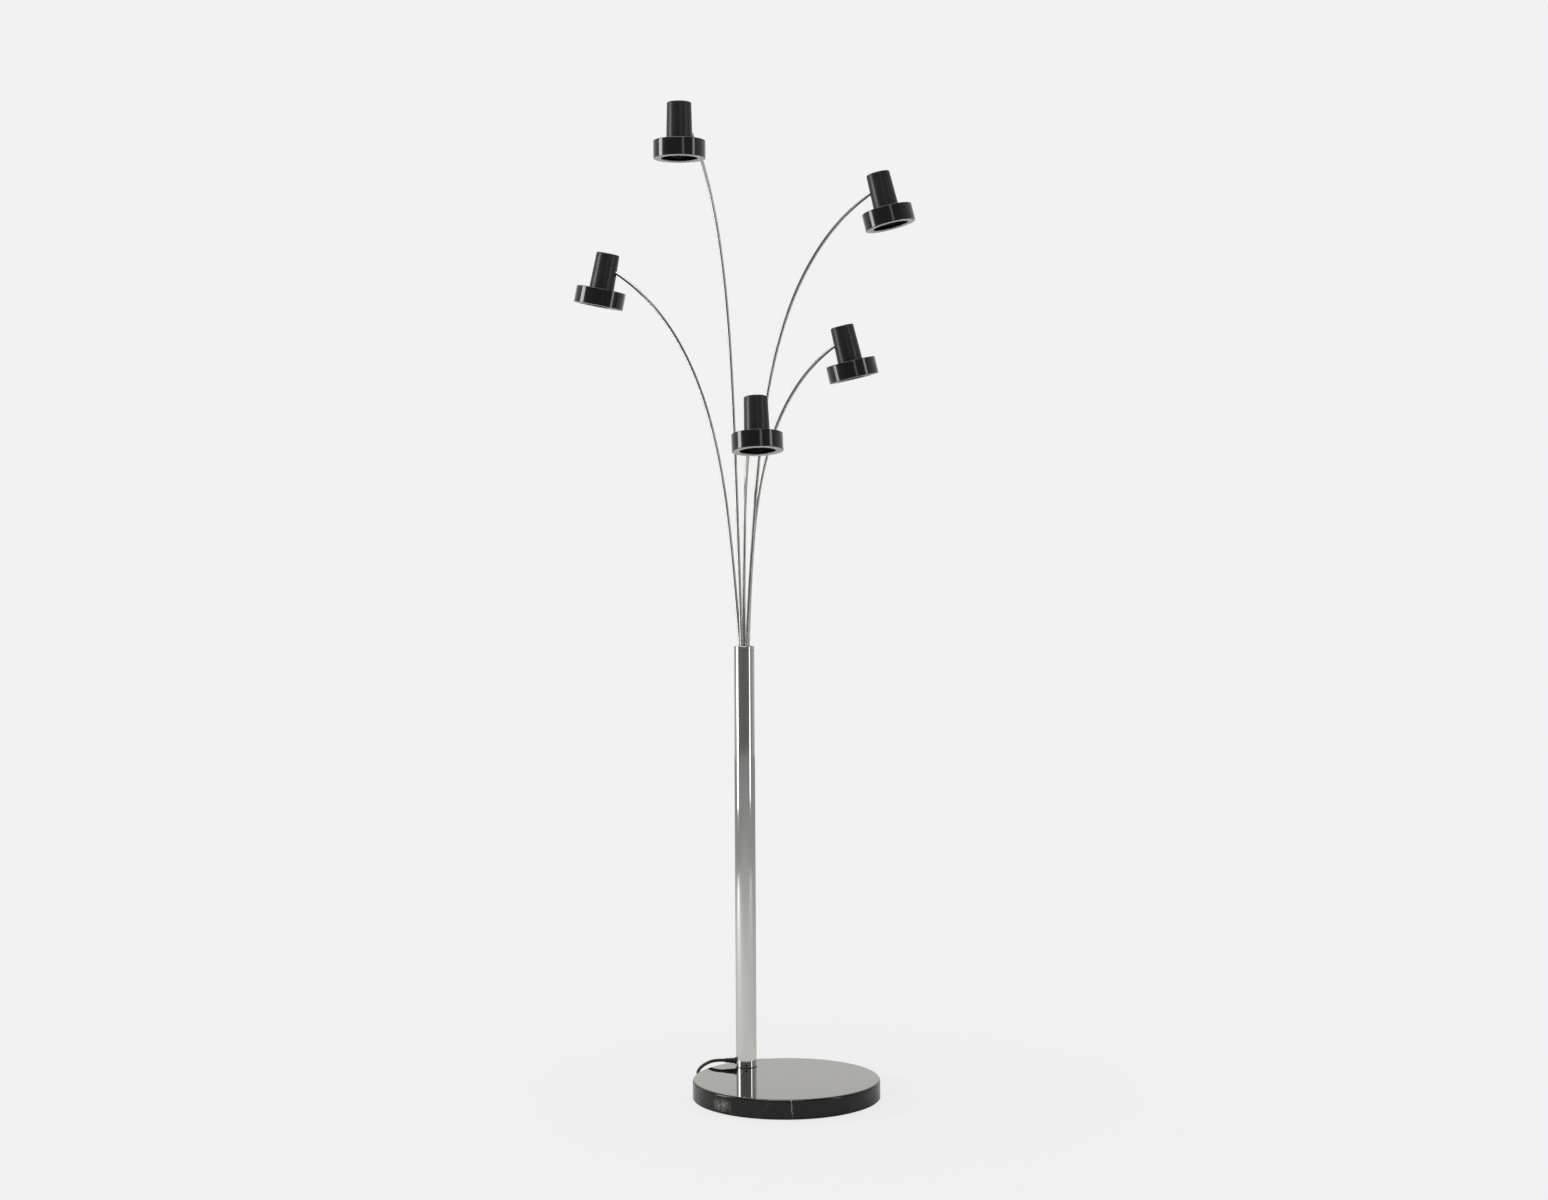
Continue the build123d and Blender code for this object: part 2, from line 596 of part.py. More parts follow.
cord_exit = POLE_DIAMETER / 2 + GLAND_FLANGE_THICKNESS + GLAND_BOOT_LENGTH
cord_radius = CORD_DIAMETER / 2
turn_step = CORD_DIAMETER + COIL_GAP
coil_total = 2 * COIL_TURNS + 0.5
coil_outer = COIL_MEAN_RADIUS + turn_step * coil_total / 4


def coil_state(turns):
    """Point and direction on the coil's centreline after so many clockwise turns.

    The spiral goes in and out again at one steady rate. The cord climbs a layer in the half turn round
    the middle, where the spiral reverses.
    """
    from_middle = turns - coil_total / 2
    radius = coil_outer - turn_step * (coil_total / 2 - abs(from_middle))
    rate = 0.0
    if abs(from_middle) > 1e-6:
        rate = turn_step * from_middle / abs(from_middle)
    climb = min(max((turns - COIL_TURNS) / 0.5, 0.0), 1.0)
    height = cord_radius + turn_step * climb * climb * (3 - 2 * climb)
    climb_rate = turn_step * 6 * climb * (1 - climb) / 0.5
    angle = radians(COIL_ENTRY_ANGLE) - 2 * pi * turns
    point = Vector(COIL_CENTRE[0] + radius * cos(angle), COIL_CENTRE[1] + radius * sin(angle), height)
    outward = Vector(cos(angle), sin(angle), 0)
    onward = Vector(sin(angle), -cos(angle), 0)
    direction = onward * (2 * pi * radius) + outward * rate + Vector(0, 0, climb_rate)
    return point, direction.normalized()


def biarc(start, start_direction, end, end_direction):
    """Two arcs that leave one point along its direction and reach the other along its own."""
    across = end - start
    both = start_direction + end_direction
    spread = 2 * (1 - start_direction.dot(end_direction))
    along = across.dot(both)
    if spread < 1e-9:
        reach = across.dot(across) / (2 * along)
    else:
        reach = (-along + sqrt(along * along + spread * across.dot(across))) / spread
    first_knee = start + start_direction * reach
    last_knee = end - end_direction * reach
    middle = (first_knee + last_knee) * 0.5
    middle_direction = (last_knee - first_knee).normalized()
    return [
        TangentArc(start, middle, tangent=start_direction),
        TangentArc(middle, end, tangent=middle_direction),
    ]


def coil_edges():
    """Straight in, spiral in, climb, spiral out, then the tail that comes down to the plug."""
    marks = [COIL_TURNS * index / COIL_LAYER_SPANS for index in range(COIL_LAYER_SPANS)]
    marks += [COIL_TURNS + 0.5 * index / COIL_CLIMB_SPANS for index in range(COIL_CLIMB_SPANS)]
    marks += [COIL_TURNS + 0.5 + COIL_TURNS * index / COIL_LAYER_SPANS for index in range(COIL_LAYER_SPANS + 1)]
    states = [coil_state(mark) for mark in marks]
    first_point, first_direction = states[0]
    edges = [Line(first_point - first_direction * CORD_DIAMETER, first_point)]
    for (start, start_direction), (end, end_direction) in zip(states, states[1:]):
        edges += biarc(start, start_direction, end, end_direction)
    last_point, last_direction = states[-1]
    plug_face, plug_direction = plug_state()
    tail_end = plug_face - plug_direction * CORD_DIAMETER
    edges += biarc(last_point, last_direction, tail_end, plug_direction)
    edges.append(Line(tail_end, plug_face))
    return edges


def plug_state():
    """Where the cord meets the plug, which lies flat on the floor beside the coil."""
    point, direction = coil_state(coil_total)
    level = Vector(direction.X, direction.Y, 0).normalized()
    face = point + level * TAIL_LENGTH
    return Vector(face.X, face.Y, PLUG_THICKNESS / 2), level


def coil_gap(path):
    """Least gap between the coil's surface and itself, measured between points along its line."""
    count = int(path.length / 2.5)
    points = [path @ (index / count) for index in range(count + 1)]
    apart = int(4 * CORD_DIAMETER / 2.5)
    least = min(
        (points[first] - points[second]).length
        for first in range(count + 1)
        for second in range(first + apart, count + 1)
    )
    return least - CORD_DIAMETER


def cord_tube(path):
    start_direction = path % 0
    return sweep(Plane(origin=path @ 0, z_dir=start_direction) * Circle(cord_radius), path=path)


def run_points():
    """The free stretch, from the gland's boot over the base's rear edge to the floor and the coil."""
    out = heading_vector(GLAND_HEADING)
    exit_point = Vector(0, POLE_SETBACK, cord_height) + out * cord_exit
    coil_start, coil_direction = coil_state(0.0)
    run_end = coil_start - coil_direction * CORD_DIAMETER
    floor = cord_radius
    return [
        exit_point,
        exit_point + out * CORD_FIRST_RUN,
        Vector(-51, 175.5, cord_height - 6),
        Vector(-55.5, 189, floor + 27.5),
        Vector(-53, 203, floor + 16.5),
        Vector(-43.5, 214.5, floor + 6),
        Vector(-28, 222, floor),
        Vector(-6.5, 226.5, floor),
        Vector(28, 222.5, floor),
        run_end - coil_direction * CORD_LAST_RUN,
        run_end,
    ]


def run_radii(points):
    """Each corner's arc is as large as its two runs allow."""
    radii = []
    for before, corner, after in zip(points, points[1:], points[2:]):
        arriving = corner - before
        leaving = after - corner
        turn = radians(arriving.get_angle(leaving))
        radii.append(0.45 * min(arriving.length, leaving.length) / tan(turn / 2))
    return radii


def mains_plug():
    """Flat two-pin plug that lies on the floor, its cord end towards the coil."""
    half = PLUG_WIDTH / 2
    tail = PLUG_TAPER_WIDTH / 2
    outline = Polyline(
        (0, -tail),
        (PLUG_LENGTH * 0.25, -tail),
        (PLUG_LENGTH * 0.6, -half),
        (PLUG_LENGTH, -half * 0.8),
        (PLUG_LENGTH, half * 0.8),
        (PLUG_LENGTH * 0.6, half),
        (PLUG_LENGTH * 0.25, tail),
        (0, tail),
        close=True,
    )
    body = extrude(make_face(outline), PLUG_THICKNESS / 2, both=True)
    body = fillet(body.edges().filter_by(Axis.Z), 2.5)
    body = fillet(body.faces().sort_by(Axis.Z)[-1].edges(), 2.0)
    body = fillet(body.faces().sort_by(Axis.Z)[0].edges(), 2.0)
    for side in (-1, 1):
        pin = radial_rod(PLUG_PIN_DIAMETER / 2, PLUG_LENGTH - 8, PLUG_LENGTH + PLUG_PIN_LENGTH)
        body += Pos(0, side * PLUG_PIN_SPACING / 2, 0) * pin
    point, direction = plug_state()
    return Plane(origin=point, x_dir=direction, z_dir=(0, 0, 1)).location * body


# ================================================================ build
write("marble_base", marble_base())
write("base_pad", base_felt())
write("tie_bolt", tie_bolt())
write("bolt_washer", bolt_washer())
write("pole_foot_gasket", pole_gasket())
write("pole_foot", foot_plug())
write("foot_set_screw", foot_screw())
write("pole_tube", pole_tube())
write("top_collar", top_collar())
write("arm_holder", arm_holder())
write("terminal_block", terminal_block())
write("cord_gland", cord_gland())

route = run_points()
radii = run_radii(route)
cord_line = FilletPolyline(*route, radius=radii)
run_tube = write("mains_cord_run", cord_tube(cord_line))
coil_line = Wire(coil_edges())
coil_tube = write("mains_cord_coil", cord_tube(coil_line))
write("mains_plug", mains_plug())
cord_section = pi * cord_radius**2
print("cord radii", [round(radius, 1) for radius in radii])
print("cord runs", [round((b - a).length, 1) for a, b in zip(route, route[1:])])
print("cord run length", round(cord_line.length, 1), "coil and tail", round(coil_line.length, 1))
print("volume over section times length", round(run_tube.volume / (cord_section * cord_line.length), 4))
print("the same for the coil", round(coil_tube.volume / (cord_section * coil_line.length), 4))
print("least gap of the coil to itself", round(coil_gap(coil_line), 2))

HEAD_PARTS = {
    "tube": head_tube(),
    "ring": head_ring(),
    "face": ring_face(),
    "bulb": bulb(),
    "lampholder": lampholder(),
    "bracket": head_bracket(),
    "pin": tilt_pin(),
}
for letter, arm in ARMS.items():
    layout = arm_layout(arm)
    write(f"stem_{letter}", stem(layout))
    write(f"knuckle_{letter}", knuckle(layout))
    place = head_place(arm, layout)
    for piece, shape in HEAD_PARTS.items():
        write(f"head_{piece}_{letter}", place * shape)
    pivot = layout["place"] * Pos(layout["pin"])
    foot = layout["place"].position
    print("arm", letter, "swivel at", round(foot.X, 3), round(foot.Y, 3), "tilt at", pivot.position)
    print("   stem slope into the head", round(90 - degrees(layout["lean"]) - arm["head_lean"], 2))
print(len(written), "parts")
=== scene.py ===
# %% [markdown]
# # A tree floor lamp, dressed
# The lamp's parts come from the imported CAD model. This lesson puts a camera, a floor, light and
# finishes round them, and models the pieces that need more than their CAD solid gives: the mains
# cord, its strain relief, the chromed stems and the reflector bulbs.
#
# Everything is in metres. The origin is on the floor under the middle of the base, and the pole
# stands behind it on +Y.

import json
import math

import bmesh
import bpy
from mathutils import Matrix, Vector

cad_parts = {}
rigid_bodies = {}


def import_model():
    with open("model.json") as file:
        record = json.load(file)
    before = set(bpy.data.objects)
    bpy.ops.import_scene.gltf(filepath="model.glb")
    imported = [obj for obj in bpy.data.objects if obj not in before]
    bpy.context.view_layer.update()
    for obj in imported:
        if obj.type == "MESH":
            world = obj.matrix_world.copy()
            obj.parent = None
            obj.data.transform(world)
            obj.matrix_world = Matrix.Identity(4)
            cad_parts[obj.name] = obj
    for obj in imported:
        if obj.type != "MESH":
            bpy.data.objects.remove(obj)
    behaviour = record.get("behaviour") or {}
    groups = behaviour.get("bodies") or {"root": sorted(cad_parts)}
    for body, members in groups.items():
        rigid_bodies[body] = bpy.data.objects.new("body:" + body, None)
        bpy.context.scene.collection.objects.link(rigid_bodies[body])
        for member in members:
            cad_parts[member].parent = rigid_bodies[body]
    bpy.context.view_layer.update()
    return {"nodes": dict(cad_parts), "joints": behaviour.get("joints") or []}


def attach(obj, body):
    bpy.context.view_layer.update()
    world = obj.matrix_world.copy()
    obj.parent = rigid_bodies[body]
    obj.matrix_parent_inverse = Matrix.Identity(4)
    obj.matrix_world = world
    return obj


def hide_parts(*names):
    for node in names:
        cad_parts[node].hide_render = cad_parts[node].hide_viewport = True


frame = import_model()
MM = 0.001
LETTERS = ("a", "b", "c", "d", "e")

# %% [markdown]
# ## Camera
# The lamp was photographed from about 4.3 m away with the lens a little under 1 m above the floor,
# pointing level. The verticals in the picture stay upright, so the view is framed with lens shift
# instead of a tilt. The whole picture leans by a third of a degree, which the roll repeats.

# %% Camera
CAMERA_PLACE = Vector((-2.537, -3.338, 0.9845))
CAMERA_HEADING = math.radians(-37.0)
CAMERA_ROLL = 0.0055
SENSOR_WIDTH = 36.0
LENS = 54.07
LENS_SHIFT = -0.031

camera_data = bpy.data.cameras.new("camera")
camera_data.lens = LENS
camera_data.sensor_width = SENSOR_WIDTH
camera_data.shift_y = LENS_SHIFT
camera = bpy.data.objects.new("camera", camera_data)
camera.location = CAMERA_PLACE
camera.rotation_euler = (math.radians(90.0), CAMERA_ROLL, CAMERA_HEADING)
bpy.context.collection.objects.link(camera)
bpy.context.scene.camera = camera
print("camera at", tuple(CAMERA_PLACE), "lens", LENS)

# %% [markdown]
# ## Mains cord
# A round flexible lead leaves the foot of the pole through a tapered strain relief, passes over the
# rear edge of the stone and lies on the floor. The length that the picture doesn't show is wound in
# a flat coil behind the base, two layers deep, with the plug beside it.
#
# A lead could be a mesh tube, but a spline with a round bevel stays editable by its points. One
# open spline carries the whole lead. Its control points are the same route that the solid model
# follows, and the coil's turns are worked out with a loop: the spiral goes in, climbs a layer in
# half a turn and comes out again. A smooth spline of order 3 cuts inside its points a little, so
# the coil's points stand further out by the same share.

# %% The coil of the cord
CORD_DIAMETER = 6.0 * MM
FLOOR_HEIGHT = CORD_DIAMETER / 2
COIL_CENTRE = Vector((104.0 * MM, 199.0 * MM, 0))
COIL_MEAN_RADIUS = 36.0 * MM
COIL_LAYER_TURNS = 3.375
COIL_CLIMB_TURNS = 0.5
COIL_TOTAL = 2 * COIL_LAYER_TURNS + COIL_CLIMB_TURNS
COIL_STEP = CORD_DIAMETER + 0.6 * MM
COIL_OUTER = COIL_MEAN_RADIUS + COIL_STEP * COIL_TOTAL / 4
COIL_ENTRY = math.radians(110.0)
COIL_POINTS_PER_TURN = 16
SMALL_TURN = 0.001


def coil_point(turns, stand_out=1.0):
    """A point of the coil's line after so many clockwise turns."""
    from_middle = turns - COIL_TOTAL / 2
    radius = COIL_OUTER - COIL_STEP * (COIL_TOTAL / 2 - abs(from_middle))
    climb = min(max((turns - COIL_LAYER_TURNS) / COIL_CLIMB_TURNS, 0.0), 1.0)
    height = FLOOR_HEIGHT + COIL_STEP * climb * climb * (3 - 2 * climb)
    angle = COIL_ENTRY - 2 * math.pi * turns
    spread = Vector((math.cos(angle), math.sin(angle), 0)) * radius * stand_out
    return COIL_CENTRE + spread + Vector((0, 0, height))


def coil_direction(turns):
    """The way the lead runs there, level with the floor."""
    ahead = coil_point(turns + SMALL_TURN) - coil_point(turns - SMALL_TURN)
    ahead.z = 0
    return ahead.normalized()


stand_out = 1 / math.cos(math.pi / COIL_POINTS_PER_TURN)
coil_count = round(COIL_TOTAL * COIL_POINTS_PER_TURN)
coil_points = [
    coil_point(index / COIL_POINTS_PER_TURN, stand_out) for index in range(1, coil_count)
]
print("coil points", len(coil_points), "outer radius mm", round(COIL_OUTER / MM, 1))

# %% The cord's way to the coil, and its tail
POLE_AXIS = Vector((0, 122.0 * MM, 0))
CORD_HEIGHT = 46.0 * MM
GLAND_HEADING = math.radians(135.0)
GLAND_REACH = 41.0 * MM
FIRST_RUN = 17.0 * MM
LAST_RUN = 22.0 * MM
TAIL_LENGTH = 44.0 * MM
TAIL_DROP = 1.0 * MM
PLUG_AXIS_HEIGHT = 7.0 * MM
OVER_THE_EDGE = (               # in millimetres, from above the stone down to the floor
    (-51.0, 175.5, 40.0),
    (-55.5, 189.0, 30.5),
    (-53.0, 203.0, 19.5),
    (-43.5, 214.5, 9.0),
    (-28.0, 222.0, 3.0),
    (-6.5, 226.5, 3.0),
    (28.0, 222.5, 3.0),
)

gland_way = Vector((math.cos(GLAND_HEADING), math.sin(GLAND_HEADING), 0))
cord_exit = POLE_AXIS + gland_way * GLAND_REACH + Vector((0, 0, CORD_HEIGHT))
coil_entry_way = coil_direction(0.0)
run_end = coil_point(0.0) - coil_entry_way * CORD_DIAMETER
route = [cord_exit, cord_exit + gland_way * FIRST_RUN]
route += [Vector(place) * MM for place in OVER_THE_EDGE]
route += [run_end - coil_entry_way * LAST_RUN, run_end]

coil_end = coil_point(COIL_TOTAL)
tail_way = coil_direction(COIL_TOTAL)
plug_face = coil_end + tail_way * TAIL_LENGTH
plug_face.z = PLUG_AXIS_HEIGHT
tail_points = [
    coil_end,
    coil_end + tail_way * 16.0 * MM - Vector((0, 0, TAIL_DROP)),
    plug_face - tail_way * 12.0 * MM,
    plug_face,
]
print("route points", len(route), "tail points", len(tail_points))

# %% Cord spline
cord_curve = bpy.data.curves.new("mains_cord", "CURVE")
cord_curve.dimensions = "3D"
cord_curve.bevel_depth = CORD_DIAMETER / 2
cord_curve.bevel_resolution = 4
cord_curve.use_fill_caps = True
cord_curve.resolution_u = 6
spline = cord_curve.splines.new("NURBS")
cord_points = route + coil_points + tail_points
spline.points.add(len(cord_points) - 1)
for point, place in zip(spline.points, cord_points):
    point.co = (*place, 1.0)
spline.order_u = 3
spline.use_endpoint_u = True
mains_cord = bpy.data.objects.new("mains_cord", cord_curve)
bpy.context.collection.objects.link(mains_cord)
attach(mains_cord, "stand")
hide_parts("mains_cord_run", "mains_cord_coil")
print("cord spline has", len(cord_points), "control points")

# %% [markdown]
# ## Working on one piece at a time
# Every new piece below is modelled the way it would be by hand, with operators. An operator acts
# on whatever is selected, so each piece starts from nothing selected. A finished piece has its
# place in its mesh, so its object stays at the origin.
#
# All the turned and bent pieces start alike: an open circle, whose edge is then extruded.

# %% Selecting, and finishing a mesh


def deselect_all():
    """Out of edit mode with nothing selected."""
    if bpy.context.mode != "OBJECT":
        bpy.ops.object.mode_set(mode="OBJECT")
    for item in bpy.data.objects:
        item.select_set(False)


def pick(piece):
    """Selects one piece and nothing else."""
    deselect_all()
    bpy.context.view_layer.objects.active = piece
    piece.select_set(True)


def rename(piece, name):
    """Names a piece and its mesh."""
    piece.name = name
    piece.data.name = name
    return piece


def modify(piece, kind, **settings):
    """Adds a modifier with its settings and applies it."""
    pick(piece)
    bpy.ops.object.modifier_add(type=kind)
    modifier = piece.modifiers[-1]
    for key, value in settings.items():
        setattr(modifier, key, value)
    bpy.ops.object.modifier_apply(modifier=modifier.name)


def smooth(piece, degrees):
    """Smooth shading, with edges sharper than the angle left hard."""
    pick(piece)
    bpy.ops.object.shade_smooth_by_angle(angle=math.radians(degrees))


# %% Starting, growing and closing a tube


def start_circle(name, sides, radius, place):
    """An open circle at its place, in edit mode with its edge selected."""
    deselect_all()
    bpy.ops.mesh.primitive_circle_add(
        vertices=sides, radius=radius, fill_type="NOTHING", location=place
    )
    piece = bpy.context.object
    pick(piece)
    bpy.ops.object.transform_apply(location=True, rotation=True, scale=True)
    rename(piece, name)
    bpy.ops.object.mode_set(mode="EDIT")
    bpy.ops.mesh.select_mode(type="EDGE")
    bpy.ops.mesh.select_all(action="SELECT")
    return piece


def extrude(by):
    """Extrudes the selected edge and moves it."""
    bpy.ops.mesh.extrude_edges_move(TRANSFORM_OT_translate={"value": by})


def widen(share, middle):
    """Scales the selected edge to a share of its radius."""
    bpy.ops.transform.resize(value=(share, share, 1), center_override=middle)


def face_outwards():
    """Turns all faces outwards and leaves edit mode."""
    bpy.ops.mesh.select_all(action="SELECT")
    bpy.ops.mesh.normals_make_consistent(inside=False)
    bpy.ops.object.mode_set(mode="OBJECT")


print("mode", bpy.context.mode)

# %% [markdown]
# ## Chromed stems
# Each stem is one thin chromed tube that bends more and more towards its head. A curve with a
# bevel could follow that line too. Here it is drawn the way a tube bender works, because then the
# bends are true arcs: a circle goes straight up out of the holder, and its end is spun round the
# centre of one arc after another. Ten arcs follow a growth curve, so neighbouring arcs meet
# without a kink. All bends of one stem lie in one upright plane, which points along the stem's
# heading.

# %% Stem sizes
STEM_RADIUS = 3.0 * MM
STEM_WALL = 1.0 * MM
SHOULDER_RADIUS = 4.2 * MM
SHOULDER_HEIGHT = 2.5 * MM
STEM_BOTTOM = 764.1 * MM
BEND_START = 810.2 * MM
FOOT_BEND_RADIUS = 80.0 * MM
BEND_ARCS = 10
ARC_SPACING = 0.8
SLOT_CIRCLE_RADIUS = 7.8 * MM
SLOT_SPACING = 72.0             # degrees from one bore of the holder to the next
FIRST_SLOT = -90.0              # degrees
STEM_SIDES = 32
STEP_ANGLE = math.radians(0.9)
PIN_CLEARANCE = 3.5 * MM

# Lengths in millimetres and angles in degrees. The power says how late a stem takes its bend, and
# the hook is the extra bend of its last arc.
STEMS = {
    "a": dict(slot=4, heading=-159, length=966, foot=2.9, end=40.6, power=4.25, hook=10),
    "b": dict(slot=0, heading=-46, length=883.5, foot=3.5, end=55.6, power=3.2, hook=0),
    "c": dict(slot=2, heading=-115, length=443.5, foot=1.0, end=55.3, power=3.2, hook=0),
    "d": dict(slot=3, heading=130, length=755, foot=4.5, end=56.4, power=2.63, hook=0),
    "e": dict(slot=1, heading=-32, length=595, foot=2.3, end=53.6, power=2.61, hook=0),
}


def tilt_joint(letter):
    """The record's tilt joint of one head."""
    for joint in frame["joints"]:
        if joint["name"] == f"head_{letter}_tilt":
            return joint
    raise KeyError(letter)


def stem_bends(stem):
    """The stem's arcs as (turn, length), from the holder to the head."""
    foot = math.radians(stem["foot"])
    growth = math.radians(stem["end"]) - foot
    bends = [(foot, FOOT_BEND_RADIUS * foot)]
    shares = [(index / BEND_ARCS) ** ARC_SPACING for index in range(BEND_ARCS + 1)]
    for start, end in zip(shares, shares[1:]):
        turn = growth * (end ** stem["power"] - start ** stem["power"])
        if end == 1.0:
            turn += math.radians(stem["hook"])
        bends.append((turn, stem["length"] * MM * (end - start)))
    return bends


for letter, stem in STEMS.items():
    lengths = [length for turn, length in stem_bends(stem)]
    print("stem", letter, "arcs", len(lengths), "bent length mm", round(sum(lengths) / MM, 1))

# %% One stem


def straight_foot(letter, place):
    """The stem's start in its bore: a shoulder, a step in and a straight run."""
    piece = start_circle(f"chromed_stem_{letter}", STEM_SIDES, SHOULDER_RADIUS, place)
    extrude((0, 0, SHOULDER_HEIGHT))
    extrude((0, 0, 0))
    shoulder_top = (place.x, place.y, STEM_BOTTOM + SHOULDER_HEIGHT)
    widen(STEM_RADIUS / SHOULDER_RADIUS, shoulder_top)
    extrude((0, 0, BEND_START - STEM_BOTTOM - SHOULDER_HEIGHT))
    return piece


def make_stem(letter):
    """A bent tube from the holder's bore to just short of the tilt pin."""
    stem = STEMS[letter]
    slot_angle = math.radians(SLOT_SPACING * stem["slot"] + FIRST_SLOT)
    slot_way = Vector((math.cos(slot_angle), math.sin(slot_angle), 0))
    heading = math.radians(stem["heading"])
    outwards = Vector((math.cos(heading), math.sin(heading), 0))
    across = Vector((-math.sin(heading), math.cos(heading), 0))
    end = POLE_AXIS + slot_way * SLOT_CIRCLE_RADIUS
    end.z = STEM_BOTTOM
    piece = straight_foot(letter, end)
    end.z = BEND_START

    lean = 0.0
    for turn, length in stem_bends(stem):
        sideways = outwards * math.cos(lean) - Vector((0, 0, math.sin(lean)))
        centre = end + sideways * (length / turn)
        steps = max(1, math.ceil(turn / STEP_ANGLE))
        bpy.ops.mesh.spin(steps=steps, angle=-turn, center=centre, axis=across)
        end = centre + Matrix.Rotation(turn, 4, across) @ (end - centre)
        lean += turn
    onward = outwards * math.sin(lean) + Vector((0, 0, math.cos(lean)))
    pin = Vector(tilt_joint(letter)["pos_m"])
    last_run = (pin - end).length - PIN_CLEARANCE
    extrude(onward * last_run)
    face_outwards()
    modify(piece, "SOLIDIFY", thickness=STEM_WALL, offset=-1.0)
    smooth(piece, 40.0)
    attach(piece, f"arm_{letter}")
    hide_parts(f"stem_{letter}")
    miss = (end + onward * (last_run + PIN_CLEARANCE) - pin).length
    print(piece.name, "faces", len(piece.data.polygons), "off its pin by mm", round(miss / MM, 3))
    return piece


chromed_stems = [make_stem(letter) for letter in LETTERS]

# %% [markdown]
# ## Strain relief
# The boot that holds the cord in the pole's wall is rubber: a flange on the wall, then a taper with
# ribs that let it bend. It is round, so its outline is turned about an upright axis, which is easy
# to read as radius and height. It is then laid along the cord's way out.

# %% Turning an outline


def lathe(name, outline, sides):
    """A closed turned piece from an outline of (radius, height).

    A circle starts at the outline's first point. Its edge is extruded to each next point and scaled
    to that point's radius, and both open ends are filled.
    """
    first_radius, first_height = outline[0]
    piece = start_circle(name, sides, first_radius, (0, 0, first_height))
    for (radius, height), (next_radius, next_height) in zip(outline, outline[1:]):
        extrude((0, 0, next_height - height))
        widen(next_radius / radius, (0, 0, next_height))
    bpy.ops.mesh.select_all(action="SELECT")
    bpy.ops.mesh.fill_holes(sides=sides)
    face_outwards()
    return piece


print("pieces so far", len(chromed_stems) + 1)

# %% Strain relief
BOOT_FLANGE = 6.5 * MM
BOOT_WALL = (18.2 * MM, 20.6 * MM)
BOOT_START = 21.0 * MM
BOOT_LENGTH = 20.0 * MM
BOOT_ROOT = 5.3 * MM
BOOT_TIP = 3.9 * MM
BOOT_EDGE = 0.4 * MM
BOOT_RIBS = 6
RIB_DEPTH = 0.8 * MM
RIB_OUTLINE = ((0.0, 0.0), (0.55, 0.0), (0.62, RIB_DEPTH), (0.93, RIB_DEPTH))

boot_outline = [(BOOT_FLANGE, height) for height in BOOT_WALL]
boot_outline.append((BOOT_FLANGE - BOOT_EDGE, BOOT_START))
for rib in range(BOOT_RIBS):
    for share, depth in RIB_OUTLINE:
        along = (rib + share) / BOOT_RIBS
        radius = BOOT_ROOT + (BOOT_TIP - BOOT_ROOT) * along - depth
        boot_outline.append((radius, BOOT_START + BOOT_LENGTH * along))
boot_outline.append((BOOT_TIP, BOOT_START + BOOT_LENGTH * 0.99))
boot_outline.append((BOOT_TIP - BOOT_EDGE, BOOT_START + BOOT_LENGTH))
strain_relief = lathe("strain_relief", boot_outline, 40)
lay_along = Matrix.Rotation(GLAND_HEADING, 4, "Z") @ Matrix.Rotation(math.radians(90.0), 4, "Y")
lift = Matrix.Translation(POLE_AXIS + Vector((0, 0, CORD_HEIGHT)))
strain_relief.data.transform(lift @ lay_along)
smooth(strain_relief, 35.0)
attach(strain_relief, "stand")
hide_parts("cord_gland")
print("strain relief faces", len(strain_relief.data.polygons))

# %% [markdown]
# ## Reflector bulbs
# Each mouth holds a small reflector bulb: a faceted mirror dish behind a glass front, a little
# capsule at its middle, and a ceramic neck with two pins. One closed shape would do from far away,
# but the mirror, the clear front and the frosted capsule each need a finish of their own, so each
# is turned as its own shell. The bulb is modelled once about the head's own axis, with the ring's
# lower face at height 0, and a copy then goes to each head. The outlines are in millimetres.

# %% Dish with its facets
DISH_SIDES = 48
BULB_FACE = 16.0
DISH_OUTLINE = (
    (3.0, 38.5), (6.8, 35.2), (10.4, 30.6), (13.2, 25.2), (15.2, 19.6), (16.0, BULB_FACE + 0.4),
    (17.1, BULB_FACE), (17.5, BULB_FACE + 0.5), (17.5, 18.0), (16.9, 24.0), (15.6, 32.0),
    (13.6, 39.5), (11.0, 46.7),
)


def in_metres(outline):
    return [(radius * MM, height * MM) for radius, height in outline]


def select_faces(piece, test):
    """Selects the faces whose centre and normal pass the test, in edit mode."""
    bpy.ops.object.mode_set(mode="EDIT")
    bpy.ops.mesh.select_mode(type="FACE")
    bpy.ops.mesh.select_all(action="DESELECT")
    mesh = bmesh.from_edit_mesh(piece.data)
    count = 0
    for face in mesh.faces:
        if test(face.calc_center_median(), face.normal):
            face.select_set(True)
            count += 1
    bmesh.update_edit_mesh(piece.data)
    return count


def inside_dish(centre, normal):
    """Whether a face looks down out of the mouth and lies above the rim."""
    return normal.z < -0.1 and centre.z > (BULB_FACE + 1.0) * MM


dish = lathe("dish", in_metres(DISH_OUTLINE), DISH_SIDES)
smooth(dish, 50.0)
facets = select_faces(dish, inside_dish)
bpy.ops.mesh.faces_shade_flat()
bpy.ops.object.mode_set(mode="OBJECT")
print("dish faces", len(dish.data.polygons), "facets", facets)

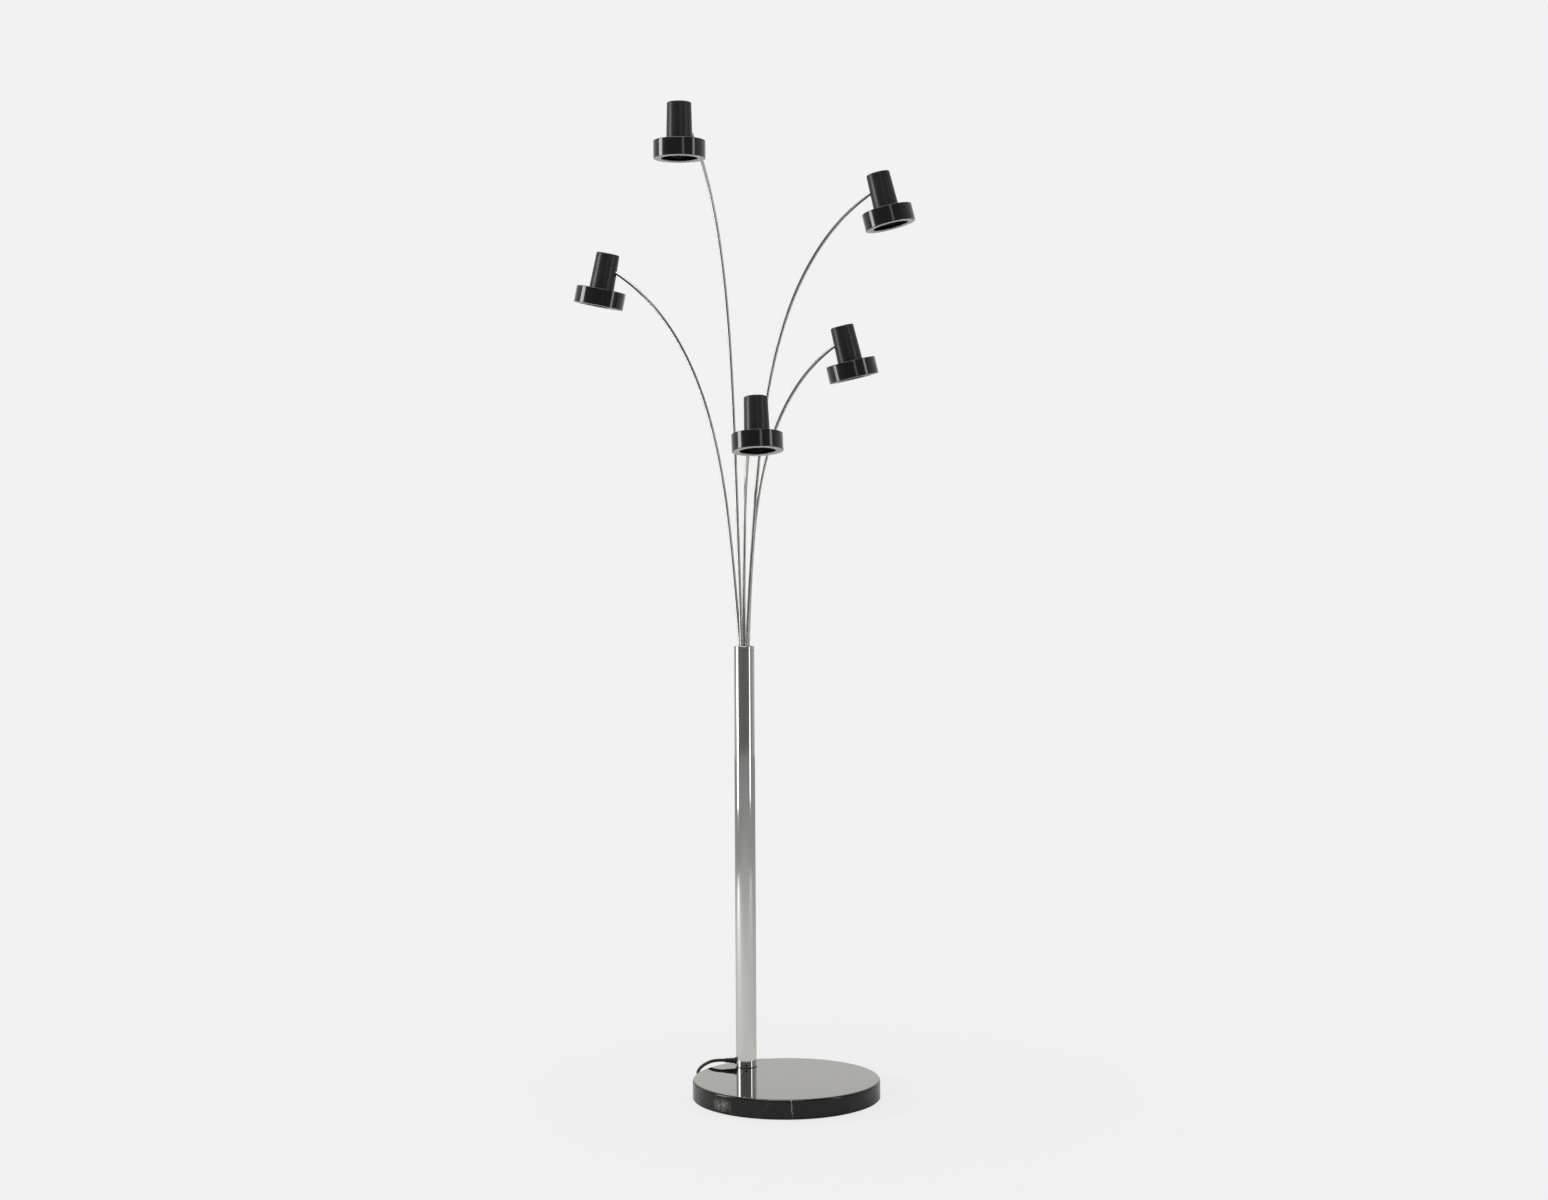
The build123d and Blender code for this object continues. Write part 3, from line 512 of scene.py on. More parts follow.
# %% Neck, front glass, capsule and pins
NECK_OUTLINE = ((11.0, 46.7), (11.0, 61.5), (9.8, 62.7))
GLASS_OUTLINE = ((4.0, 18.0), (15.2, 17.8), (15.9, 17.2), (15.9, 16.9), (10.0, 16.5), (4.0, 16.4))
CAPSULE_OUTLINE = ((4.2, 38.4), (4.4, 30.0), (3.8, 26.6), (2.0, 25.0), (0.5, 24.6))
PIN_OUTLINE = (
    (2.5, 62.0), (2.5, 66.0), (1.6, 66.4), (1.6, 67.6), (2.5, 68.0), (2.5, 69.4), (2.0, 69.7),
)
PIN_FROM_MIDDLE = 5.0 * MM

neck = lathe("neck", in_metres(NECK_OUTLINE), 40)
smooth(neck, 35.0)
front_glass = lathe("front_glass", in_metres(GLASS_OUTLINE), 48)
smooth(front_glass, 35.0)
capsule = lathe("capsule", in_metres(CAPSULE_OUTLINE), 24)
smooth(capsule, 60.0)
bulb_pins = []
for side in (-1, 1):
    bulb_pin = lathe("bulb_pin", in_metres(PIN_OUTLINE), 20)
    bulb_pin.data.transform(Matrix.Translation((0, side * PIN_FROM_MIDDLE, 0)))
    smooth(bulb_pin, 35.0)
    bulb_pins.append(bulb_pin)
print("capsule faces", len(capsule.data.polygons), "pins", len(bulb_pins))

# %% [markdown]
# ## Where each head is
# A head's tilt joint gives its pin and the direction of its arm. The heads were set by hand, so
# each leans by its own angle. A piece that is drawn about a head's own axis, with the ring's lower
# face at height 0, is moved by this matrix.

# %% Head places
HEAD_LEAN = {"a": 0.0, "b": 13.5, "c": 9.0, "d": 11.5, "e": 13.3}
PIN_HEIGHT = 69.0 * MM
PIN_OFFSET = 16.6 * MM


def head_place(letter):
    """The matrix that carries a piece from its drawing to one head."""
    joint = tilt_joint(letter)
    axis = joint["axis"]
    heading = math.atan2(-axis[0], axis[1])
    to_pin = Matrix.Translation((PIN_OFFSET, 0, -PIN_HEIGHT))
    swing = Matrix.Rotation(math.radians(-HEAD_LEAN[letter]), 4, "Y")
    turn = Matrix.Rotation(heading, 4, "Z")
    return Matrix.Translation(joint["pos_m"]) @ turn @ swing @ to_pin


for letter in LETTERS:
    print("head", letter, "axis foot", [round(x, 4) for x in head_place(letter).translation])

# %% [markdown]
# ## Node groups
# Shared surface effects are built once as node groups with named inputs and outputs, and each
# finish places them with its own numbers. They only put out values and colours. The shader itself
# stays in the material.

# %% Node helpers


def new_group(name, inputs, outputs):
    """An empty shader node group with sockets given as (name, type, default)."""
    group = bpy.data.node_groups.new(name, "ShaderNodeTree")
    for label, kind, default in inputs:
        socket = group.interface.new_socket(name=label, in_out="INPUT", socket_type=kind)
        if default is not None:
            socket.default_value = default
    for label, kind in outputs:
        group.interface.new_socket(name=label, in_out="OUTPUT", socket_type=kind)
    source = group.nodes.new("NodeGroupInput")
    sink = group.nodes.new("NodeGroupOutput")
    return group, source.outputs, sink.inputs


def node(tree, kind, **settings):
    """A node with its properties set; names that match an input socket set its value."""
    item = tree.nodes.new(kind)
    for key, value in settings.items():
        label = key.replace("_", " ").title()
        if label in item.inputs:
            item.inputs[label].default_value = value
        else:
            setattr(item, key, value)
    return item


def place_group(tree, group, position, **values):
    """Puts a shared group into a material."""
    item = tree.nodes.new("ShaderNodeGroup")
    item.node_tree = group
    tree.links.new(position, item.inputs["Position"])
    for key, value in values.items():
        item.inputs[key.title()].default_value = value
    return item


print("node groups so far", len(bpy.data.node_groups))

# %% Handling marks: faint cloudy change of roughness, for polished and painted metal
smudge_group, smudge_in, smudge_out = new_group(
    "handling_marks",
    [
        ("Position", "NodeSocketVector", None),
        ("Scale", "NodeSocketFloat", 20.0),
        ("Low", "NodeSocketFloat", 0.05),
        ("High", "NodeSocketFloat", 0.12),
    ],
    [("Roughness", "NodeSocketFloat")],
)
links = smudge_group.links
smudge_noise = node(smudge_group, "ShaderNodeTexNoise", detail=4.0, roughness=0.55)
smudge_range = node(smudge_group, "ShaderNodeMapRange", from_min=0.35, from_max=0.7)
links.new(smudge_in["Position"], smudge_noise.inputs["Vector"])
links.new(smudge_in["Scale"], smudge_noise.inputs["Scale"])
links.new(smudge_noise.outputs["Fac"], smudge_range.inputs["Value"])
links.new(smudge_in["Low"], smudge_range.inputs["To Min"])
links.new(smudge_in["High"], smudge_range.inputs["To Max"])
links.new(smudge_range.outputs["Result"], smudge_out["Roughness"])


def handled(tree, shader, position, scale, low, high):
    """Handling marks between two values of roughness."""
    marks = place_group(tree, smudge_group, position, scale=scale, low=low, high=high)
    tree.links.new(marks.outputs["Roughness"], shader.inputs["Roughness"])


print("group", smudge_group.name)

# %% Fine grain: a small bump height, for paint, plastic and rubber
grain_group, grain_in, grain_out = new_group(
    "fine_grain",
    [("Position", "NodeSocketVector", None), ("Scale", "NodeSocketFloat", 900.0)],
    [("Height", "NodeSocketFloat")],
)
links = grain_group.links
grain_noise = node(grain_group, "ShaderNodeTexNoise", detail=2.0, roughness=0.5)
links.new(grain_in["Position"], grain_noise.inputs["Vector"])
links.new(grain_in["Scale"], grain_noise.inputs["Scale"])
links.new(grain_noise.outputs["Fac"], grain_out["Height"])


def bump(tree, shader, height, depth):
    """Turns a height into the shader's normal, with the relief's depth in metres."""
    item = node(tree, "ShaderNodeBump", strength=1.0, distance=depth)
    tree.links.new(height, item.inputs["Height"])
    tree.links.new(item.outputs["Normal"], shader.inputs["Normal"])


def grained(tree, shader, position, scale, depth):
    """A fine grain on the surface."""
    grain = place_group(tree, grain_group, position, scale=scale)
    bump(tree, shader, grain.outputs["Height"], depth)


print("group", grain_group.name)

# %% [markdown]
# ## Chrome
# The pole, its end collar and the stems are polished steel with a chromium finish. Nearly all that
# is seen is the room around them, so the finish is a metal that is almost smooth, with a faint haze
# where hands have been. A perfectly smooth metal would be simpler, but its reflections look drawn.

# %% Chrome


def new_material(name, **plain):
    """A material with its Principled shader, and the Object coordinates that it reads.

    Plain values are the same all over the surface, so they are set on the shader's own sockets.
    """
    material = bpy.data.materials.new(name)
    material.use_nodes = True
    tree = material.node_tree
    shader = tree.nodes["Principled BSDF"]
    for key, value in plain.items():
        label = key.replace("_", " ").title().replace("Ior", "IOR")
        whole = (*value, 1.0) if label in ("Base Color", "Coat Tint") else value
        shader.inputs[label].default_value = whole
    coordinates = tree.nodes.new("ShaderNodeTexCoord")
    return material, tree, shader, coordinates.outputs["Object"]


chrome, *surface = new_material("chrome", base_color=(0.71, 0.71, 0.70), metallic=1.0)
handled(*surface, scale=14.0, low=0.05, high=0.085)

# The stems are thin, and a little more haze keeps the lights' reflections on them in one soft line.
# Its colour is darker than the pole's chrome: painted shade that dims the lights' reflections on
# the stems.
shaded_stem_chrome, *surface = new_material("shaded_stem_chrome", base_color=(0.54, 0.54, 0.53), metallic=1.0)
handled(*surface, scale=30.0, low=0.15, high=0.21)
print("materials", chrome.name, shaded_stem_chrome.name)

# %% [markdown]
# ## Black heads
# The tube of each head is satin black paint over metal. The ring below it is gloss black, so it
# shows a bright streak for each light. A clear coat over a dark base gives both, with different
# roughness, and a fine orange-peel bump keeps the reflections from looking like glass.

# %% Satin and gloss black
satin_black, *surface = new_material(
    "satin_black", base_color=(0.014, 0.014, 0.016), specular_ior_level=0.5
)
handled(*surface, scale=60.0, low=0.30, high=0.38)
grained(*surface, scale=1400.0, depth=0.00002)

gloss_black, *surface = new_material(
    "gloss_black", base_color=(0.006, 0.006, 0.007), coat_weight=0.6, coat_roughness=0.05
)
handled(*surface, scale=50.0, low=0.10, high=0.17)
grained(*surface, scale=260.0, depth=0.00003)
print("materials", satin_black.name, gloss_black.name)

# %% [markdown]
# ## Face plate, steel and small parts
# The plate that closes each ring is light satin metal. The brackets, pins, bolt and washer are zinc
# plated steel, and the lampholder is unglazed ceramic. Plating and ceramic are never one even
# colour, so a noise mixes two close shades of each.

# %% Plain metals and ceramic


def ramp(tree, *stops):
    """A colour ramp from (position, grey or colour) pairs."""
    item = tree.nodes.new("ShaderNodeValToRGB")
    elements = item.color_ramp.elements
    while len(elements) < len(stops):
        elements.new(0.5)
    for element, (position, shade) in zip(elements, stops):
        element.position = position
        element.color = (*shade, 1.0) if isinstance(shade, tuple) else (shade, shade, shade, 1.0)
    return item


def two_shades(tree, shader, position, first, second, **noise_settings):
    """Two colours mixed by a noise, given as (position, colour). Returns the noise's value."""
    noise = node(tree, "ShaderNodeTexNoise", **noise_settings)
    colour = ramp(tree, first, second)
    tree.links.new(position, noise.inputs["Vector"])
    tree.links.new(noise.outputs["Fac"], colour.inputs["Fac"])
    tree.links.new(colour.outputs["Color"], shader.inputs["Base Color"])
    return noise.outputs["Fac"]


light_metal, *surface = new_material("light_metal", base_color=(0.62, 0.62, 0.61), metallic=0.55)
handled(*surface, scale=90.0, low=0.38, high=0.5)
grained(*surface, scale=2200.0, depth=0.00001)

zinc_steel, *surface = new_material("zinc_steel", metallic=1.0)
two_shades(
    *surface, (0.35, (0.42, 0.43, 0.45)), (0.65, (0.56, 0.56, 0.55)), scale=180.0, detail=3.0
)
handled(*surface, scale=120.0, low=0.26, high=0.4)

ceramic, *surface = new_material("ceramic", roughness=0.7)
speck = two_shades(
    *surface, (0.3, (0.66, 0.63, 0.56)), (0.6, (0.78, 0.76, 0.70)), scale=700.0, detail=2.0
)
bump(*surface[:2], speck, 0.00004)
print("materials", light_metal.name, zinc_steel.name, ceramic.name)

# %% [markdown]
# ## Plastics, rubber, felt and iron
# The holder in the pole's top, the terminal block and the plug are moulded plastic. The gasket and
# the boot are rubber, the cord has a smooth sheath, and the plug in the pole's foot is cast iron.
# They differ in colour, sheen and grain only, so one function makes them all. The felt under the
# stone has fibres instead: a fine noise that gives both its colour and its height, with a sheen.

# %% Plastics, rubber, felt and iron


def moulded(name, colour, low, high, grain_scale, grain_depth):
    """One colour with an uneven sheen and a fine texture."""
    material, *surface = new_material(name, base_color=colour)
    handled(*surface, scale=70.0, low=low, high=high)
    grained(*surface, scale=grain_scale, depth=grain_depth)
    return material


black_plastic = moulded("black_plastic", (0.014, 0.014, 0.015), 0.42, 0.55, 1800.0, 0.00003)
white_plastic = moulded("white_plastic", (0.74, 0.73, 0.70), 0.40, 0.50, 1500.0, 0.00002)
black_rubber = moulded("black_rubber", (0.016, 0.016, 0.016), 0.60, 0.75, 2400.0, 0.00004)
cord_sheath = moulded("cord_sheath", (0.012, 0.012, 0.013), 0.38, 0.50, 1200.0, 0.00002)
cast_iron = moulded("cast_iron", (0.09, 0.088, 0.085), 0.50, 0.65, 1100.0, 0.00006)

felt, *surface = new_material("felt", roughness=0.95, sheen_weight=0.4)
fibres = two_shades(
    *surface,
    (0.3, (0.010, 0.010, 0.011)),
    (0.7, (0.045, 0.045, 0.048)),
    scale=1600.0,
    detail=6.0,
    roughness=0.7,
)
bump(*surface[:2], fibres, 0.0003)
print("materials", black_plastic.name, cord_sheath.name, felt.name)

# %% [markdown]
# ## Polished black marble
# The base is one disc of black marble, polished on top until it is a dark mirror. Its veins are
# thin and pale. The ones that the picture shows are drawn as strokes: each has a start and an end
# on the stone's surface, and a noise bends its line and breaks it up. A second kind of vein, where
# a slowly bent noise crosses its middle value, wanders faintly through the rest of the block.
# Noise alone could give all of them, but it wouldn't put any vein where the real stone has one.

# %% Arithmetic in nodes
HALF = (0.5, 0.5, 0.5)


def math_node(tree, operation, first, second=None, clamp=False):
    """A number worked out from numbers or linked sockets."""
    item = tree.nodes.new("ShaderNodeMath")
    item.operation = operation
    item.use_clamp = clamp
    for index, value in enumerate((first, second)):
        if value is None:
            continue
        if isinstance(value, (int, float)):
            item.inputs[index].default_value = value
        else:
            tree.links.new(value, item.inputs[index])
    return item.outputs[0]


def vector_math(tree, operation, first, second):
    """A vector operation on a linked socket, with a second socket or a plain vector."""
    item = node(tree, "ShaderNodeVectorMath", operation=operation)
    tree.links.new(first, item.inputs[0])
    if isinstance(second, (tuple, Vector)):
        item.inputs[1].default_value = second
    else:
        tree.links.new(second, item.inputs["Scale" if operation == "SCALE" else 1])
    return item.outputs["Value" if operation in ("DOT_PRODUCT", "DISTANCE") else "Vector"]


print("middle of a noise", HALF)

# %% A drawn vein as a node group
stroke_group, stroke_in, stroke_out = new_group(
    "vein_stroke",
    [
        ("Position", "NodeSocketVector", None),
        ("Start", "NodeSocketVector", None),
        ("End", "NodeSocketVector", None),
        ("Width", "NodeSocketFloat", 0.001),
        ("Wander", "NodeSocketFloat", 0.004),
    ],
    [("Mask", "NodeSocketFloat")],
)
links = stroke_group.links
wander_noise = node(stroke_group, "ShaderNodeTexNoise", scale=85.0, detail=4.0, roughness=0.6)
links.new(stroke_in["Position"], wander_noise.inputs["Vector"])
middle = vector_math(stroke_group, "SUBTRACT", wander_noise.outputs["Color"], HALF)
push = vector_math(stroke_group, "SCALE", middle, stroke_in["Wander"])
bent_place = vector_math(stroke_group, "ADD", stroke_in["Position"], push)
from_start = vector_math(stroke_group, "SUBTRACT", bent_place, stroke_in["Start"])
whole_line = vector_math(stroke_group, "SUBTRACT", stroke_in["End"], stroke_in["Start"])
along = vector_math(stroke_group, "DOT_PRODUCT", from_start, whole_line)
length_squared = vector_math(stroke_group, "DOT_PRODUCT", whole_line, whole_line)
share = math_node(stroke_group, "DIVIDE", along, length_squared, clamp=True)
nearest = vector_math(stroke_group, "SCALE", whole_line, share)
distance = vector_math(stroke_group, "DISTANCE", from_start, nearest)
thin = math_node(stroke_group, "DIVIDE", distance, stroke_in["Width"])
line = math_node(stroke_group, "SUBTRACT", 1.0, thin, clamp=True)
break_noise = node(stroke_group, "ShaderNodeTexNoise", scale=240.0, detail=3.0)
break_range = node(stroke_group, "ShaderNodeMapRange", from_min=0.3, from_max=0.6)
links.new(stroke_in["Position"], break_noise.inputs["Vector"])
links.new(break_noise.outputs["Fac"], break_range.inputs["Value"])
mask = math_node(stroke_group, "MULTIPLY", line, break_range.outputs["Result"], clamp=True)
links.new(mask, stroke_out["Mask"])
print("group", stroke_group.name)

# %% A wandering vein as a node group
vein_group, vein_in, vein_out = new_group(
    "stone_vein",
    [
        ("Position", "NodeSocketVector", None),
        ("Scale", "NodeSocketFloat", 4.0),
        ("Width", "NodeSocketFloat", 0.02),
        ("Bend", "NodeSocketFloat", 0.5),
        ("Seed", "NodeSocketFloat", 0.0),
    ],
    [("Mask", "NodeSocketFloat")],
)
links = vein_group.links
warp = node(vein_group, "ShaderNodeTexNoise", noise_dimensions="4D", scale=9.0, detail=3.0)
field = node(vein_group, "ShaderNodeTexNoise", noise_dimensions="4D", detail=1.5, roughness=0.45)
fade = node(vein_group, "ShaderNodeTexNoise", noise_dimensions="4D", scale=7.0, detail=2.0)
links.new(vein_in["Position"], warp.inputs["Vector"])
centred = vector_math(vein_group, "SUBTRACT", warp.outputs["Color"], HALF)
bent = vector_math(vein_group, "SCALE", centred, vein_in["Bend"])
moved = vector_math(vein_group, "ADD", vein_in["Position"], bent)
links.new(moved, field.inputs["Vector"])
links.new(vein_in["Scale"], field.inputs["Scale"])
links.new(vein_in["Position"], fade.inputs["Vector"])
for noise in (warp, field, fade):
    links.new(vein_in["Seed"], noise.inputs["W"])
off_centre = math_node(vein_group, "SUBTRACT", field.outputs["Fac"], 0.5)
distance = math_node(vein_group, "ABSOLUTE", off_centre)
thin = math_node(vein_group, "DIVIDE", distance, vein_in["Width"])
line = math_node(vein_group, "SUBTRACT", 1.0, thin, clamp=True)
strength = node(vein_group, "ShaderNodeMapRange", from_min=0.46, from_max=0.66)
links.new(fade.outputs["Fac"], strength.inputs["Value"])
mask = math_node(vein_group, "MULTIPLY", line, strength.outputs["Result"], clamp=True)
links.new(mask, vein_out["Mask"])
print("group", vein_group.name)

# %% The stone's veins
MARBLE_BLACK = (0.0105, 0.0096, 0.0090)
MARBLE_VEIN = (0.62, 0.62, 0.60)
VEIN_STROKES = [
    # start and end in millimetres, width, wander, strength
    ((-96.0, -139.2, 37.0), (-93.2, -141.2, 0.0), 1.5, 7.0, 0.75),
    ((-97.0, -125.0, 36.0), (-96.5, -138.5, 36.0), 1.2, 5.0, 0.6),
    ((-161.9, -48.4, 24.0), (-161.0, -51.0, 0.0), 1.1, 4.0, 0.4),
    ((-162.6, 46.0, 36.0), (-163.2, 43.9, 0.0), 1.0, 3.0, 0.35),
    ((-167.0, 26.0, 30.0), (-163.0, 44.0, 35.5), 0.9, 4.0, 0.4),
    ((113.0, 34.0, 36.0), (138.0, 48.0, 36.0), 2.2, 12.0, 0.14),
    ((0.0, 45.0, 36.0), (10.0, 36.5, 36.0), 4.5, 12.0, 0.09),
    ((42.0, 4.5, 36.0), (49.5, -1.5, 36.0), 4.0, 12.0, 0.09),
    ((-35.5, -18.5, 36.0), (-4.0, -24.5, 36.0), 1.9, 10.0, 0.16),
    ((-84.0, -23.5, 36.0), (-69.0, -30.0, 36.0), 1.6, 8.0, 0.2),
    ((-133.0, -34.0, 36.0), (-104.0, -62.0, 36.0), 1.3, 8.0, 0.2),
    ((120.0, 118.0, 36.0), (150.0, 76.0, 0.0), 1.4, 9.0, 0.3),
    ((60.0, 157.0, 36.0), (52.0, 161.0, 0.0), 1.6, 8.0, 0.4),
]
CLOUD_PATCH = ((-168.0, -20.0, 16.0), (-164.6, -38.0, 18.0), 13.0, 9.0)
WANDERING_VEINS = (
    dict(width=0.010, scale=3.2, bend=0.10, seed=4.0),
    dict(width=0.005, scale=6.5, bend=0.06, seed=11.0),
)
WANDERING_STRENGTHS = (0.05, 0.035)
print("drawn veins", len(VEIN_STROKES), "wandering veins", len(WANDERING_VEINS))

# %% The veins as the stone's colour
marble, tree, shader, position = new_material(
    "marble",
    coat_roughness=0.015,
    coat_ior=1.9,
    coat_tint=(1.0, 0.99, 0.95),
    specular_ior_level=0.36,
)


def drawn_vein(start, end, width, wander):
    """The mask of one stroke, given in millimetres."""
    stroke = place_group(tree, stroke_group, position, width=width * MM, wander=wander * MM)
    stroke.inputs["Start"].default_value = Vector(start) * MM
    stroke.inputs["End"].default_value = Vector(end) * MM
    return stroke.outputs["Mask"]


masks = []
for *stroke, strength in VEIN_STROKES:
    masks.append(math_node(tree, "MULTIPLY", drawn_vein(*stroke), strength))
patch_grain = node(tree, "ShaderNodeTexNoise", scale=150.0, detail=6.0, roughness=0.7)
patch_range = node(
    tree, "ShaderNodeMapRange", from_min=0.25, from_max=0.7, to_min=0.03, to_max=0.6
)
tree.links.new(position, patch_grain.inputs["Vector"])
tree.links.new(patch_grain.outputs["Fac"], patch_range.inputs["Value"])
cloud = drawn_vein(*CLOUD_PATCH)
masks.append(math_node(tree, "MULTIPLY", cloud, patch_range.outputs["Result"]))
for settings, strength in zip(WANDERING_VEINS, WANDERING_STRENGTHS):
    vein = place_group(tree, vein_group, position, **settings)
    masks.append(math_node(tree, "MULTIPLY", vein.outputs["Mask"], strength))
strongest = masks[0]
for mask in masks[1:]:
    strongest = math_node(tree, "MAXIMUM", strongest, mask)
stone_colour = ramp(tree, (0.0, MARBLE_BLACK), (1.0, MARBLE_VEIN))
tree.links.new(strongest, stone_colour.inputs["Fac"])
tree.links.new(stone_colour.outputs["Color"], shader.inputs["Base Color"])
print("veins in the stone", len(masks))

# %% The stone's polish
POLISH_START = 34.5 * MM
POLISH_DEPTH = 1.2 * MM
MARBLE_SURFACE = 36.0 * MM
NEAR_FOOT = 72.0 * MM
NEAR_FOOT_EDGE = 6.0 * MM

split = node(tree, "ShaderNodeSeparateXYZ")
tree.links.new(position, split.inputs[0])
polished_top = node(
    tree, "ShaderNodeMapRange", from_min=POLISH_START, from_max=POLISH_START + POLISH_DEPTH
)
tree.links.new(split.outputs["Z"], polished_top.inputs["Value"])
tree.links.new(polished_top.outputs["Result"], shader.inputs["Coat Weight"])
handled(tree, shader, position, scale=18.0, low=0.03, high=0.05)

# In the picture the pole mirrors only the stone next to its foot, and pale room above that. So rays
# that come from polished metal see the stone further out as pale as the floor.
foot = POLE_AXIS + Vector((0, 0, MARBLE_SURFACE))
foot_distance = vector_math(tree, "DISTANCE", position, foot)
beyond = node(
    tree, "ShaderNodeMapRange", from_min=NEAR_FOOT, from_max=NEAR_FOOT + NEAR_FOOT_EDGE
)
tree.links.new(foot_distance, beyond.inputs["Value"])


def mix_surface(tree, share, first, second):
    """Shows a share of the second shader instead of the first, as the material's surface."""
    blend = tree.nodes.new("ShaderNodeMixShader")
    tree.links.new(share, blend.inputs["Fac"])
    tree.links.new(first.outputs[0], blend.inputs[1])
    tree.links.new(second.outputs[0], blend.inputs[2])
    tree.links.new(blend.outputs[0], tree.nodes["Material Output"].inputs["Surface"])


# Glossy rays beyond the foot see a flat pale glow instead of the stone: a painted reflection.
rays = tree.nodes.new("ShaderNodeLightPath")
painted_reflection_share = math_node(tree, "MULTIPLY", rays.outputs["Is Glossy Ray"], beyond.outputs["Result"])
pale = node(tree, "ShaderNodeEmission", color=(0.66, 0.66, 0.65, 1.0))
mix_surface(tree, painted_reflection_share, shader, pale)
print("material", marble.name)

# %% [markdown]
# ## Bulb materials
# The dish is bright aluminium, the front is clear glass, and the capsule is frosted. Light has to
# pass the front for the dish to be seen behind it, so the front is a true transmitting glass and
# not a see-through paint. The frosted capsule only needs to look milky, which a little scattering
# under its surface gives without any light inside.

# %% Bulb materials
mirror_dish, *surface = new_material("mirror_dish", base_color=(0.86, 0.86, 0.87), metallic=1.0)
handled(*surface, scale=220.0, low=0.10, high=0.22)

clear_glass, *surface = new_material("clear_glass", transmission_weight=1.0, ior=1.5)
handled(*surface, scale=160.0, low=0.0, high=0.03)

frosted_glass, *surface = new_material(
    "frosted_glass",
    base_color=(0.82, 0.82, 0.80),
    subsurface_weight=0.3,
    subsurface_radius=(0.002, 0.002, 0.002),
)
handled(*surface, scale=300.0, low=0.25, high=0.4)
print("materials", mirror_dish.name, clear_glass.name, frosted_glass.name)

# %% A bulb in every head


def give(piece, material):
    """Puts a material in a piece's first slot."""
    slots = piece.data.materials
    if not slots:
        slots.append(None)
    slots[0] = material


def join(name, *pieces):
    """Several pieces as one object, which keeps the first one's place in the scene."""
    deselect_all()
    for piece in pieces:
        piece.select_set(True)
    bpy.context.view_layer.objects.active = pieces[0]
    bpy.ops.object.join()
    return rename(bpy.context.object, name)


def copy_to(piece, name, place):
    """A copy of a piece with its own mesh, moved by a matrix that goes into the mesh."""
    twin = piece.copy()
    twin.data = piece.data.copy()
    rename(twin, name)
    twin.data.transform(place)
    bpy.context.collection.objects.link(twin)
    return twin


give(dish, mirror_dish)
give(neck, ceramic)
give(front_glass, clear_glass)
give(capsule, frosted_glass)
for bulb_pin in bulb_pins:
    give(bulb_pin, zinc_steel)
first_bulb = join("reflector_bulb", dish, neck, front_glass, capsule, *bulb_pins)
for letter in LETTERS:
    bulb = copy_to(first_bulb, f"reflector_bulb_{letter}", head_place(letter))
    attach(bulb, f"head_{letter}")
    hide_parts(f"head_bulb_{letter}")
bpy.data.objects.remove(first_bulb, do_unlink=True)
print("bulbs", len(LETTERS))

# %% [markdown]
# ## Finishes on the CAD pieces
# The CAD pieces whose shape is already right keep their mesh and only get a finish. Two tables say
# which: one for the stand, and one for the pieces that all five heads have.

# %% Finishes on the CAD pieces
FINISH = {
    "marble_base": marble,
    "base_pad": felt,
    "tie_bolt": zinc_steel,
    "bolt_washer": zinc_steel,
    "pole_foot_gasket": black_rubber,
    "pole_foot": cast_iron,
    "foot_set_screw": black_plastic,
    "pole_tube": chrome,
    "top_collar": chrome,
    "arm_holder": black_plastic,
    "terminal_block": white_plastic,
    "mains_plug": black_plastic,
}
HEAD_FINISH = {
    "knuckle": zinc_steel,
    "head_tube": satin_black,
    "head_ring": gloss_black,
    "head_face": light_metal,
    "head_lampholder": ceramic,
    "head_bracket": zinc_steel,
    "head_pin": zinc_steel,
}
for letter in LETTERS:
    for piece, material in HEAD_FINISH.items():
        FINISH[f"{piece}_{letter}"] = material
for name, material in FINISH.items():
    give(frame["nodes"][name], material)
give(mains_cord, cord_sheath)
give(strain_relief, black_rubber)
for piece in chromed_stems:
    give(piece, shaded_stem_chrome)
print("finished CAD pieces", len(FINISH))

# %% [markdown]
# ## Floor, room and light
# The lamp stands on a plain pale floor in a room that is pale grey to the camera. Polished metal
# shows the room, so the room matters as much as the finish: the pole's dark core is the unlit side
# of the room behind the camera, and its two bright stripes are tall soft lights, one well to the
# left and one nearer on the right. To the camera, the floor is mostly the same flat grey as the
# room, and the rest of it is paint that catches the lamp's faint shadow.

# %% Floor
PALE_GREY = (0.888, 0.888, 0.888, 1.0)
FLOOR_RADIUS = 7.0
FLOOR_LIFT = 0.88               # share of flat pale grey in the floor right under the lamp
FADE_START = 0.2                # metres from the middle, where that share begins to grow
FADE_END = 1.0

deselect_all()
bpy.ops.mesh.primitive_circle_add(
    vertices=96, radius=FLOOR_RADIUS, fill_type="NGON", location=(0, 0, 0)
)
floor = bpy.context.object
floor.name = "floor"
floor_paint, tree, shader, position = new_material(
    "floor_paint", base_color=(0.86, 0.86, 0.86), roughness=0.9, specular_ior_level=0.1
)
flat_grey = node(tree, "ShaderNodeEmission", color=PALE_GREY, strength=1.0)
reach = vector_math(tree, "DISTANCE", position, (0, 0, 0))
far = node(
    tree, "ShaderNodeMapRange", from_min=FADE_START, from_max=FADE_END, to_min=FLOOR_LIFT
)
tree.links.new(reach, far.inputs["Value"])
rays = tree.nodes.new("ShaderNodeLightPath")
seen = math_node(tree, "MULTIPLY", far.outputs["Result"], rays.outputs["Is Camera Ray"])
mix_surface(tree, seen, shader, flat_grey)
give(floor, floor_paint)
print("floor radius", FLOOR_RADIUS)

# %% World
ROOM_STRENGTH = 1.25
